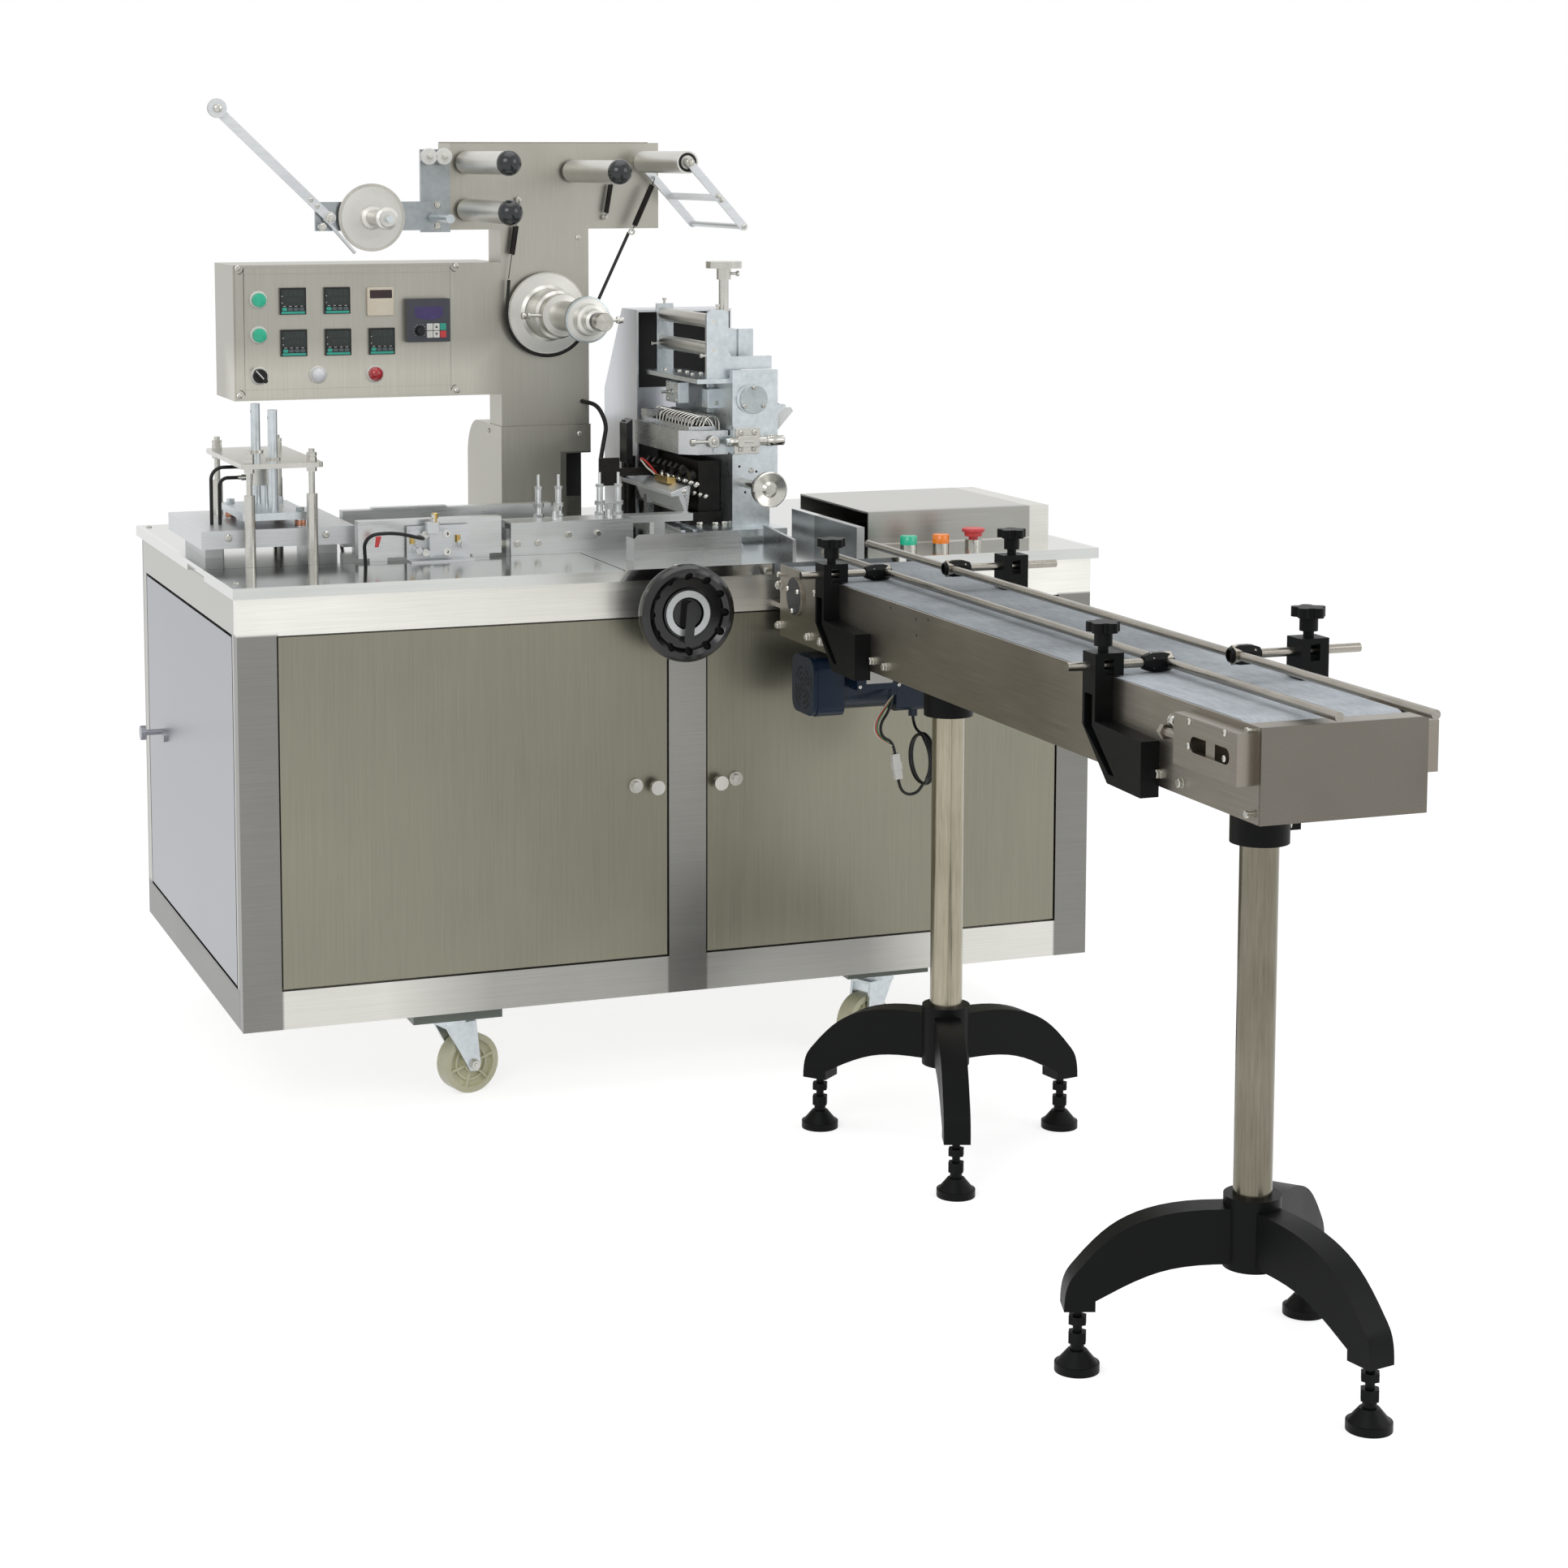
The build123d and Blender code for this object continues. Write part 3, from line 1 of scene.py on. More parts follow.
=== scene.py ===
# %% [markdown]
# # Film overwrapping machine
# The machine wraps boxes in clear film. Its CAD frame holds every piece at its real size and
# place, and this lesson dresses it: light, camera, finishes, and the small parts that make
# sheet metal and castings look real. We work in the frame's own metres, so nothing is fitted by eye.

# %% Load the frame
from math import cos, pi, radians, sin

import bmesh
import bpy
from mathutils import Matrix, Vector


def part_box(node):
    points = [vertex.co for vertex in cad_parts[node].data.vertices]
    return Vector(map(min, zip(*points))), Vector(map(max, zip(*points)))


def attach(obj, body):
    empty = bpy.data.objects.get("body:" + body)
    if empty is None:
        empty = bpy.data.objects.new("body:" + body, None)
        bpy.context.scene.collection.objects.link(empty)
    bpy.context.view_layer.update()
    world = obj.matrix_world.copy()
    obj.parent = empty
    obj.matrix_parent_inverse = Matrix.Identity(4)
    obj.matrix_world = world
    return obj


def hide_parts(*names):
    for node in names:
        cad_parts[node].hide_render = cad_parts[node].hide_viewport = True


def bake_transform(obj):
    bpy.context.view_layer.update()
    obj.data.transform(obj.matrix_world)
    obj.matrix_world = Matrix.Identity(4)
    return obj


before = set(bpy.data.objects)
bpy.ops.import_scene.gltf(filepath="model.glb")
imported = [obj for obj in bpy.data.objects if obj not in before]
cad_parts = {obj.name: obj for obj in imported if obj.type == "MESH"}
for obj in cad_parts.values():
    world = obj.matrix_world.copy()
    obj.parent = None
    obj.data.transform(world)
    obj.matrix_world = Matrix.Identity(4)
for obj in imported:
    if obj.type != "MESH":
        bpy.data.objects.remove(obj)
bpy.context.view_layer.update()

# %% [markdown]
# The table's front left corner on the floor is the handiest zero: every place on the machine is
# measured from it in millimetres. We read that corner from the frame, so it never drifts.

# %% Table places
CORNER = Vector((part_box("table_top")[0][0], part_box("table_top")[0][1], 0))
FRONT, LEFT, RIGHT, UP = (0, -1, 0), (-1, 0, 0), (1, 0, 0), (0, 0, 1)


def at(x, y, z):
    """A table place in millimetres as a point of the frame in metres."""
    return CORNER + Vector((x, y, z)) / 1000


print("table corner:", [round(c, 4) for c in CORNER])

# %% [markdown]
# ## Camera
# A long lens stood about five metres away, slightly left of the machine and above the table.
# A camera's shift moves the frame without turning the camera, so upright edges stay upright.

# %% Camera
camera_data = bpy.data.cameras.new("photo_camera")
camera_data.sensor_width = 36
camera_data.lens = 71.50
camera_data.shift_x = 0.04897
camera_data.shift_y = -0.17956
camera_data.clip_end = 60
camera = bpy.data.objects.new("photo_camera", camera_data)
bpy.context.scene.collection.objects.link(camera)
camera.location = at(-942.5, -4758.1, 1548.0)
camera.rotation_euler = (radians(90 - 6.409), 0, radians(-19.949))
bpy.context.scene.camera = camera
print("camera stands at", [round(c, 3) for c in camera.location])

# %% [markdown]
# ## One function adds a node
# A finish is a small graph of nodes. One function adds any node, sets its fields and wires its
# sockets, which keeps the graphs short to read.

# %% Node and colour helpers
def node(tree, kind, sockets=None, **settings):
    """Adds one node: settings are its fields, sockets maps inputs to values or to outputs."""
    made = tree.nodes.new(kind)
    for field, value in settings.items():
        setattr(made, field, value)
    for key, value in (sockets or {}).items():
        if isinstance(value, bpy.types.NodeSocket):
            tree.links.new(value, made.inputs[key])
        else:
            made.inputs[key].default_value = value
    return made


def colour(text):
    """An sRGB hex colour as the linear red, green, blue and alpha that shaders use."""
    parts = [int(text[i:i + 2], 16) / 255 for i in (0, 2, 4)]
    return tuple(p / 12.92 if p <= 0.04045 else ((p + 0.055) / 1.055) ** 2.4 for p in parts) + (1,)


print("mid grey in linear light:", [round(c, 3) for c in colour("808080")])

# %% [markdown]
# ## Soft studio light
# The background is plain white, and metal must mirror that white too, so camera, glossy and
# transmission rays see a white world, while the light that falls on the machine is set apart.
# Three broad lamps, two in front and one above, give the gentle fall of light across the metal.

# %% World
def any_ray(tree, *kinds):
    """1 for a ray of one of these kinds, 0 for any other."""
    ray = node(tree, "ShaderNodeLightPath")
    hit = ray.outputs[kinds[0]]
    for kind in kinds[1:]:
        hit = node(tree, "ShaderNodeMath", {0: hit, 1: ray.outputs[kind]}, operation="MAXIMUM").outputs[0]
    return hit


scene = bpy.context.scene
scene.view_settings.view_transform = "Standard"
world = bpy.data.worlds.new("white_studio")
scene.world = world
world.use_nodes = True
sky = world.node_tree
sky.nodes.clear()
seen = any_ray(sky, "Is Camera Ray", "Is Glossy Ray", "Is Transmission Ray")
light = node(sky, "ShaderNodeBackground", {"Color": colour("f2f3f5"), "Strength": 0.62})
white = node(sky, "ShaderNodeBackground", {"Color": (1, 1, 1, 1), "Strength": 1.0})
both = node(sky, "ShaderNodeMixShader", {0: seen, 1: light.outputs[0], 2: white.outputs[0]})
node(sky, "ShaderNodeOutputWorld", {0: both.outputs[0]})

# %% Lamps
def softbox(name, place, target, width, height, power):
    """A broad lamp that faces a target."""
    data = bpy.data.lights.new(name, "AREA")
    data.shape = "RECTANGLE"
    data.size = width
    data.size_y = height
    data.energy = power
    lamp = bpy.data.objects.new(name, data)
    scene.collection.objects.link(lamp)
    lamp.location = place
    lamp.rotation_euler = (Vector(target) - Vector(place)).to_track_quat("-Z", "Y").to_euler()


softbox("key_softbox", (-3.2, -3.6, 3.6), (0, 0, 0.8), 2.6, 2.2, 62)
softbox("fill_softbox", (3.6, -3.2, 2.8), (0, -0.2, 0.8), 2.4, 2.4, 34)
softbox("top_softbox", (0.2, 0.2, 4.4), (0, 0, 0.8), 3.0, 3.6, 46)

# %% [markdown]
# The floor is plain and pale. Part of its brightness is its own, seen only by camera and mirror
# rays, and the rest is lit, so that it meets the white background yet keeps the soft shadow.

# %% Floor
FLOOR = 30  # metres from the middle to each side
floor_mesh = bpy.data.meshes.new("studio_floor")
corners = [(-FLOOR, -FLOOR, 0), (FLOOR, -FLOOR, 0), (FLOOR, FLOOR, 0), (-FLOOR, FLOOR, 0)]
floor_mesh.from_pydata(corners, [], [(0, 1, 2, 3)])
studio_floor = bpy.data.objects.new("studio_floor", floor_mesh)
scene.collection.objects.link(studio_floor)
floor_paint = bpy.data.materials.new("pale_studio_floor")
floor_paint.use_nodes = True
tree = floor_paint.node_tree
tree.nodes.clear()
seen = any_ray(tree, "Is Camera Ray", "Is Glossy Ray")
own = node(tree, "ShaderNodeMath", {0: seen, 1: 0.70}, operation="MULTIPLY")
lit = node(tree, "ShaderNodeBsdfDiffuse", {"Color": colour("c4c4c4")})
glow = node(tree, "ShaderNodeEmission", {"Color": (1, 1, 1, 1), "Strength": own.outputs[0]})
sum_up = node(tree, "ShaderNodeAddShader", {0: lit.outputs[0], 1: glow.outputs[0]})
node(tree, "ShaderNodeOutputMaterial", {0: sum_up.outputs[0]})
floor_mesh.materials.append(floor_paint)
print("floor is", 2 * FLOOR, "metres wide")

# %% [markdown]
# ## Finishes
# Each finish starts from what the real surface is and how it was made. They share one recipe:
# two close colours that drift over the sheet, a grain drawn out along the direction in which
# the surface was worked, and small changes of roughness and height that follow that grain.

# %% The recipe for a worked surface
# SUM_RANGE holds nearly all sums of the two noises. WEAR_PATCH and FLAKE are sizes in millimetres.
SUM_RANGE = {"From Min": 0.62, "From Max": 1.38}
WEAR_PATCH, WEAR_COLOUR = 55.0, "6e665a"
FLAKE = 9.0


def finish(name, dark, bright, metallic, roughness, grain, drift, lift, spread=0.06, wear=0.0, ior=1.5,
           coat=0.0, speck=0.0, shine=0.5):
    """A worked surface. grain is the size in mm of its marks along X, Y and Z, or one size for all,
    drift the size in mm of its cloudy changes, lift the marks' height in mm, spread how far the
    roughness varies, wear the strength of rubbed patches and speck that of crystal flakes."""
    material = bpy.data.materials.new(name)
    material.use_nodes = True
    tree = material.node_tree
    shader = tree.nodes["Principled BSDF"]
    place = node(tree, "ShaderNodeTexCoord").outputs["Object"]
    sizes = grain if isinstance(grain, tuple) else (grain, grain, grain)
    stretch = node(tree, "ShaderNodeMapping", {"Vector": place, "Scale": [1000 / size for size in sizes]})
    marks = node(tree, "ShaderNodeTexNoise", {"Vector": stretch.outputs[0], "Scale": 1.0, "Detail": 4.0,
                                              "Roughness": 0.6})
    clouds = node(tree, "ShaderNodeTexNoise", {"Vector": place, "Scale": 1000 / drift, "Detail": 3.0,
                                               "Roughness": 0.55})
    both = node(tree, "ShaderNodeMath", {0: marks.outputs[0], 1: clouds.outputs[0]}, operation="ADD")
    tone = node(tree, "ShaderNodeMapRange", {"Value": both.outputs[0], **SUM_RANGE})
    mixed = node(tree, "ShaderNodeMix", {0: tone.outputs[0], 6: colour(dark), 7: colour(bright)},
                 data_type="RGBA")
    surface = mixed.outputs[2]
    if wear > 0:
        edge = node(tree, "ShaderNodeTexNoise", {"Vector": place, "Scale": 1000 / WEAR_PATCH,
                                                 "Detail": 8.0, "Roughness": 0.7})
        patch = node(tree, "ShaderNodeMapRange", {"Value": edge.outputs[0], "From Min": 0.60,
                                                  "From Max": 0.72, "To Max": wear})
        worn = node(tree, "ShaderNodeMix", {0: patch.outputs[0], 6: surface, 7: colour(WEAR_COLOUR)},
                    data_type="RGBA")
        surface = worn.outputs[2]
    if speck > 0:
        flakes = node(tree, "ShaderNodeTexVoronoi", {"Vector": place, "Scale": 1000 / FLAKE})
        flake = node(tree, "ShaderNodeMapRange", {"Value": flakes.outputs["Color"], "To Min": -speck,
                                                  "To Max": speck})
        level = node(tree, "ShaderNodeMath", {0: flake.outputs[0], 1: 1.0}, operation="ADD")
        lighter = node(tree, "ShaderNodeHueSaturation", {"Color": surface, "Value": level.outputs[0]})
        surface = lighter.outputs[0]
    tree.links.new(surface, shader.inputs["Base Color"])
    rough = node(tree, "ShaderNodeMapRange", {"Value": both.outputs[0], **SUM_RANGE,
                                              "To Min": max(roughness - spread, 0.02),
                                              "To Max": roughness + spread})
    tree.links.new(rough.outputs[0], shader.inputs["Roughness"])
    raised = node(tree, "ShaderNodeBump", {"Height": marks.outputs[0], "Strength": 0.35,
                                           "Distance": lift / 1000})
    tree.links.new(raised.outputs[0], shader.inputs["Normal"])
    shader.inputs["Metallic"].default_value = metallic
    if metallic < 0.5:
        shader.inputs["IOR"].default_value = ior
        shader.inputs["Specular IOR Level"].default_value = shine
    if coat > 0:
        shader.inputs["Coat Weight"].default_value = coat
        shader.inputs["Coat Roughness"].default_value = 0.08
    return material


# Real brushing lines stand about 0.2 mm apart. They are drawn 1.6 to 3 mm apart so that they show.
LINE = 1.6
# These are one stainless steel. Beside their real grain, their different colours are painted light and shade
# for each part: darker on the doors, the side door, the depthwise frame, rails and posts, lighter on the
# tower side.
steel = {key: finish(name, dark, bright, 1.0, *rest) for key, name, dark, bright, *rest in (
    ("brushed_along_x", "stainless_304_brushed_lengthwise", "c6c5be", "dcdbd5",
     0.32, (120, LINE, LINE), 320, 0.012),
    ("brushed_along_z", "stainless_304_brushed_upright", "a09e94", "b3b1a7",
     0.34, (LINE, LINE, 120), 340, 0.012),
    ("brushed_along_y", "stainless_304_brushed_depthwise", "857f76", "9c968c",
     0.34, (LINE, 120, LINE), 300, 0.012),
    ("door", "stainless_304_door_panel", "7e7c6f", "8f8d7d", 0.36, (LINE, LINE, 130), 380, 0.012),
    ("side", "stainless_304_side_panel", "93959b", "a7a9ae", 0.34, (LINE, LINE, 130), 260, 0.012),
    ("tower", "stainless_304_tower_side", "c1c3c8", "d6d8dc", 0.34, (LINE, LINE, 130), 260, 0.012),
    ("guide", "steel_zinc_plated_guide", "c6c9c9", "dcdedd", 0.30, (90, 2, 2), 150, 0.006),
    ("mirror", "stainless_304_mirror_polished", "c2c4c1", "d4d5d1", 0.13, (160, 3, 3), 420, 0.004, 0.03),
    ("rail", "stainless_304_ground_bar", "8b8780", "aca79d", 0.24, (3, 40, 3), 120, 0.01),
    ("post", "stainless_304_polished_tube", "857f6d", "aba593", 0.20, (3, 3, 60), 150, 0.01))}
print("steel finishes:", len(steel))

# %% [markdown]
# Zinc plating dries with a faint crystal bloom, anodised aluminium is even and milky, and turned
# parts carry fine rings. Moulded nylon is black with a soft sheen and a very fine grain.

# %% Other metals
zinc = finish("steel_zinc_plated_bright", "b8bfc2", "d4dadd", 1.0, 0.30, 9, 45, 0.002, 0.05, speck=0.012)
cast_aluminium = finish("aluminium_cast_and_polished", "b4b6b7", "d3d5d6", 1.0, 0.26, 3, 60, 0.012)
anodised = finish("aluminium_clear_anodised", "c3c6c8", "d9dbdc", 0.85, 0.38, (60, 2, 2), 150, 0.01)
turned = finish("aluminium_turned_bright", "c4c3bd", "d4d3ce", 1.0, 0.36, (60, 1.2, 60), 90, 0.004)
turned_steel = finish("steel_turned_bright", "b5b3ac", "cdccc6", 1.0, 0.20, 3, 60, 0.002, 0.03)
black_oxide = finish("steel_black_oxide", "1c1b1a", "32302e", 0.7, 0.42, 3, 40, 0.03)
copper = finish("bronze_plain_foot", "a2705a", "c08c74", 0.9, 0.36, 2, 20, 0.02)
brass = finish("brass_turned", "b99b55", "d8bd7c", 1.0, 0.24, 2, 20, 0.01)
print("materials so far:", len(bpy.data.materials))

# %% Plastics, rubber, felt and paint
nylon = finish("nylon_glass_filled_black", "060707", "0d0e0f", 0.0, 0.44, 0.9, 70, 0.03, 0.07, ior=1.53,
               shine=0.12)
abs_black = finish("abs_moulded_black", "0e0f10", "18191b", 0.0, 0.30, 0.8, 60, 0.02, ior=1.54, shine=0.3)
cap_black = finish("abs_polished_black_cap", "16181a", "24272a", 0.0, 0.16, 2, 40, 0.01, 0.05, ior=1.54)
wheel_black = finish("phenolic_polished_handwheel", "07080a", "101112", 0.0, 0.16, 2, 60, 0.02, ior=1.6,
                     shine=0.4)
rubber = finish("rubber_black_hose", "0c0c0d", "171718", 0.0, 0.38, 1.5, 30, 0.03, ior=1.52, shine=0.3)
felt = finish("polyester_felt_belt", "7b8084", "9ea3a7", 0.0, 0.92, (7, 28, 4), 90, 0.25, 0.04, ior=1.45)
motor_blue = finish("enamel_motor_blue", "0b1b2c", "112840", 0.0, 0.30, 2.5, 70, 0.05, 0.08, shine=0.3)
grey_paint = finish("enamel_grey_green", "6a726a", "7b837a", 0.0, 0.36, 3, 60, 0.03, wear=0.2)
nylon_cream = finish("nylon_cast_cream", "c9c6a4", "e0ddc0", 0.0, 0.34, 2, 35, 0.03, wear=0.25, ior=1.53,
                     coat=0.2)
nylon_white = finish("nylon_moulded_white", "d6d6d2", "eceae4", 0.0, 0.40, 1, 25, 0.01, ior=1.53)
red_plastic = finish("abs_moulded_red", "c22f33", "d8484a", 0.0, 0.36, 1, 25, 0.01, ior=1.54)
# Matt black lines the tower inside, and the same dark stands as painted shade in holes, slots, the fan
# grille, the casting's slot and the column's notch.
matt_black_and_painted_shade = finish("matt_black_lining_and_painted_shade", "0b0b0c", "151516", 0.0, 0.7, 3, 60, 0.02)
print("materials so far:", len(bpy.data.materials))

# %% [markdown]
# ## Dress the CAD pieces
# The CAD pieces keep their shape. A bevel modifier rounds their sharp edges by the small radius
# that a fold, a saw cut or a casting has, and that thin bright line along an edge is what makes
# sheet metal look like metal.

# %% Which finish goes on which piece
dressed = (
    (steel["brushed_along_x"], "cabinet cover_box"),
    (steel["brushed_along_y"], "conveyor_frame"),
    (steel["brushed_along_z"], "column control_box"),
    (steel["mirror"], "table_top"),
    (steel["door"], "front_doors"),
    (steel["side"], "side_door"),
    (steel["tower"], "head_tower"),
    (steel["guide"], "table_guides"),
    (steel["rail"], "near_rail far_rail"),
    (steel["post"], "stand_posts"),
    (zinc, "tape_bracket press_plate head_frame castor_fork_1 castor_fork_2 castor_fork_3 castor_fork_4"),
    (turned_steel, "cabinet_fittings push_buttons press_stand head_screw head_knob"),
    (turned, "guide_roller_a guide_roller_b guide_roller_c dancer_roller head_roller_1 head_roller_2"),
    (turned, "film_reel tape_reel"),
    (anodised, "dancer_arm tape_arm press_block guide_cylinder"),
    (cast_aluminium, "forming_block"),
    (black_oxide, "anchor_springs brake_spring head_mechanism"),
    (grey_paint, "castor_bars"),
    (nylon_cream, "castor_wheel_1 castor_wheel_2 castor_wheel_3 castor_wheel_4"),
    (nylon, "rail_brackets stand_castings levelling_feet"),
    (nylon_white, "lead_connector"),
    (abs_black, "panel_instruments selector_knob"),
    (red_plastic, "emergency_stop"),
    (wheel_black, "handwheel"),
    (motor_blue, "drive_motor"),
    (rubber, "brake_cord air_tubes motor_lead lead_coil"),
    (felt, "conveyor_belt"))
look = {name: paint for paint, names in dressed for name in names.split()}
print("nodes without a finish:", sorted(set(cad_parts) - set(look)))

# %% Rounded edges
EDGE = 0.5  # millimetres, for every piece that isn't listed
edge_radius = {"cabinet": 1.5, "table_top": 2.5, "front_doors": 1.5, "column": 1.5, "control_box": 1.5,
               "rail_brackets": 1.6, "stand_castings": 6, "drive_motor": 2, "cover_box": 1.2,
               "handwheel": 1.5, "conveyor_frame": 0.8}


def round_edges(thing, radius, sharper_than):
    """Rounds the edges that are sharper than an angle, by a radius in millimetres."""
    rounding = thing.modifiers.new("edge_radius", "BEVEL")
    rounding.width = radius / 1000
    rounding.segments = 2
    rounding.limit_method = "ANGLE"
    rounding.angle_limit = radians(sharper_than)


for name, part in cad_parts.items():
    for place in part.material_slots:
        place.material = look[name]
    if not part.material_slots:
        part.data.materials.append(look[name])
    round_edges(part, edge_radius.get(name, EDGE), 38)
print("dressed", len(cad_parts), "CAD pieces")

# %% [markdown]
# Boxes of table places scale a finish's colour, each with a soft edge. Most of them are painted light and
# shade: darker on low rails, posts, the table top, the sides and back under the table and the cover box's
# front, lighter on the top rail, the control box's lower part and the belt's near end. The rest darken the
# near guide plates and the tape bracket.

# %% Painted light and shade, and darker plates
def paint_light_shade_and_tone(material, boxes):
    """Scales a finish's colour inside boxes of table millimetres, as painted light and shade or a darker
    plate: low, high, factor, soft edge in mm.
    """
    tree = material.node_tree
    shader = tree.nodes["Principled BSDF"]
    spot = node(tree, "ShaderNodeTexCoord").outputs["Object"]
    whole = None
    for low, high, factor, soft in boxes:
        middle, half = (at(*low) + at(*high)) / 2, (at(*high) - at(*low)) / 2
        away = node(tree, "ShaderNodeVectorMath", {0: spot, 1: middle}, operation="SUBTRACT")
        away = node(tree, "ShaderNodeVectorMath", {0: away.outputs[0]}, operation="ABSOLUTE")
        away = node(tree, "ShaderNodeVectorMath", {0: away.outputs[0], 1: half}, operation="SUBTRACT")
        parts = node(tree, "ShaderNodeSeparateXYZ", {0: away.outputs[0]}).outputs
        far = node(tree, "ShaderNodeMath", {0: parts[0], 1: parts[1]}, operation="MAXIMUM")
        far = node(tree, "ShaderNodeMath", {0: far.outputs[0], 1: parts[2]}, operation="MAXIMUM")
        scale = node(tree, "ShaderNodeMapRange", {"Value": far.outputs[0], "From Min": 0.0,
                                                  "From Max": soft / 1000, "To Min": factor,
                                                  "To Max": 1.0}).outputs[0]
        if whole:
            scale = node(tree, "ShaderNodeMath", {0: whole, 1: scale}, operation="MULTIPLY").outputs[0]
        whole = scale
    old = shader.inputs["Base Color"].links[0].from_socket
    scaled = node(tree, "ShaderNodeVectorMath", {0: old, "Scale": whole}, operation="SCALE")
    tree.links.new(scaled.outputs[0], shader.inputs["Base Color"])


# Painted shade on the cabinet's posts, bottom rail, sides and back and on the cover box's front and top, and
# painted light on the cabinet's top rail.
cabinet_places = [
    ((-5, -5, 794), (1505, 40, 858), 1.22, 0.5), ((-5, 10, 150), (71, 40, 794), 0.34, 4),
    ((1432, 10, 150), (1505, 40, 794), 0.33, 4), ((723, 10, 150), (788, 40, 794), 0.46, 4),
    ((420, 10, 120), (1080, 40, 222), 0.55, 180), ((-6, 40, 120), (12, 900, 221), 0.26, 6),
    ((1100, 170, 876), (1450, 189, 1000), 0.54, 2), ((1100, 191, 876), (1450, 500, 1000), 0.76, 1),
    ((-5, 862, 150), (1505, 890, 860), 0.55, 3), ((1485, 42, 150), (1505, 860, 860), 0.55, 3),
    ((-6, 40, 221), (12, 900, 860), 0.70, 6)]
# Painted shade in the column's notch and low part, and painted light on the control box's lower part.
column_places = [
    ((770, 750, 870), (830, 860, 994), 0.5, 2), ((640, 700, 874), (840, 900, 960), 0.94, 160),
    ((140, 700, 1080), (600, 790, 1150), 1.42, 60)]
# These make the near guide plates darker.
guide_places = [((660, 60, 860), (900, 150, 930), 0.76, 4), ((895, 60, 860), (1125, 260, 930), 0.50, 4)]
# Painted shade on the table top, the conveyor's end and the near post, painted light on the belt's near end,
# and a darker tape bracket.
shaded = (
    (steel["brushed_along_x"], cabinet_places),
    (steel["mirror"], [((10, 10, 872), (1490, 880, 876), 0.86, 4)]),
    (steel["brushed_along_y"], [((895, -1585, 750), (1140, -1577, 880), 0.62, 0.5)]),
    (steel["brushed_along_z"], column_places),
    (steel["guide"], guide_places),
    (zinc, [((300, 745, 1400), (565, 790, 1560), 0.60, 4)]),
    (felt, [((900, -1600, 850), (1140, -1250, 880), 1.6, 300)]),
    (steel["post"], [((980, -1430, 100), (1060, -1340, 760), 0.56, 20)]))
for material, boxes in shaded:
    paint_light_shade_and_tone(material, boxes)
print("places shaded on", len(shaded), "finishes")

# %% [markdown]
# ## Builders for small parts
# Bolts, caps, keys and springs are not worth a CAD solid each, so they are made here as real
# meshes. Every builder works in table millimetres and adds to one growing mesh, and the last
# step turns that mesh into a piece that rides on the body which carries it.

# %% Turned and cut shapes
def directions(along):
    """Two directions across an axis, and the axis."""
    w = Vector(along).normalized()
    u = w.cross(Vector((0, 0, 1)) if abs(w.z) < 0.9 else Vector((0, 1, 0))).normalized()
    return u, w.cross(u), w


def turn_on_lathe(shape, base, along, profile, segments=28, phase=0.0):
    """A turned solid from pairs of distance along the axis and radius. Six segments make a hexagon."""
    u, v, w = directions(along)
    rings = []
    for distance, radius in profile:
        middle = Vector(base) + w * distance
        if radius < 0.01:
            rings.append([shape.verts.new(middle)])
            continue
        turns = [phase + 2 * pi * step / segments for step in range(segments)]
        rings.append([shape.verts.new(middle + (u * cos(t) + v * sin(t)) * radius) for t in turns])
    for low, high in zip(rings, rings[1:]):
        for step in range(segments):
            after = (step + 1) % segments
            corners = [low[step % len(low)], low[after % len(low)], high[after % len(high)],
                       high[step % len(high)]]
            corners = list(dict.fromkeys(corners))
            if len(corners) > 2:
                shape.faces.new(corners)


def cut_sheet(shape, outline, plane, start, end):
    """A flat piece cut to an outline. plane names its two axes; start and end lie along the third."""
    third = ({0, 1, 2} - {"xyz".index(letter) for letter in plane}).pop()
    first, second = ("xyz".index(letter) for letter in plane)
    rows = []
    for level in (start, end):
        row = []
        for a, b in outline:
            point = [0.0, 0.0, 0.0]
            point[first], point[second], point[third] = a, b, level
            row.append(shape.verts.new(point))
        rows.append(row)
    shape.faces.new(rows[0])
    shape.faces.new(rows[1][::-1])
    count = len(outline)
    for step in range(count):
        after = (step + 1) % count
        shape.faces.new([rows[0][after], rows[0][step], rows[1][step], rows[1][after]])


# %% Outlines and profiles
def plain(radius, height):
    """The profile of a plain disc or pin."""
    return [(0, 0), (0, radius), (height, radius), (height, 0)]


def oblong(x, z, width, height, corner=0):
    """The outline of a plate with rounded corners, centred on x, z."""
    if corner <= 0:
        return [(x - width / 2, z - height / 2), (x + width / 2, z - height / 2),
                (x + width / 2, z + height / 2), (x - width / 2, z + height / 2)]
    steps = 4
    points = []
    for side, (sx, sz) in enumerate(((1, -1), (1, 1), (-1, 1), (-1, -1))):
        cx, cz = x + sx * (width / 2 - corner), z + sz * (height / 2 - corner)
        for step in range(steps + 1):
            t = radians(-90 + 90 * side + 90 * step / steps)
            points.append((cx + corner * cos(t), cz + corner * sin(t)))
    return points


# %% From shapes to pieces
CREASE = 40  # degrees, above which an edge stays sharp in the shading


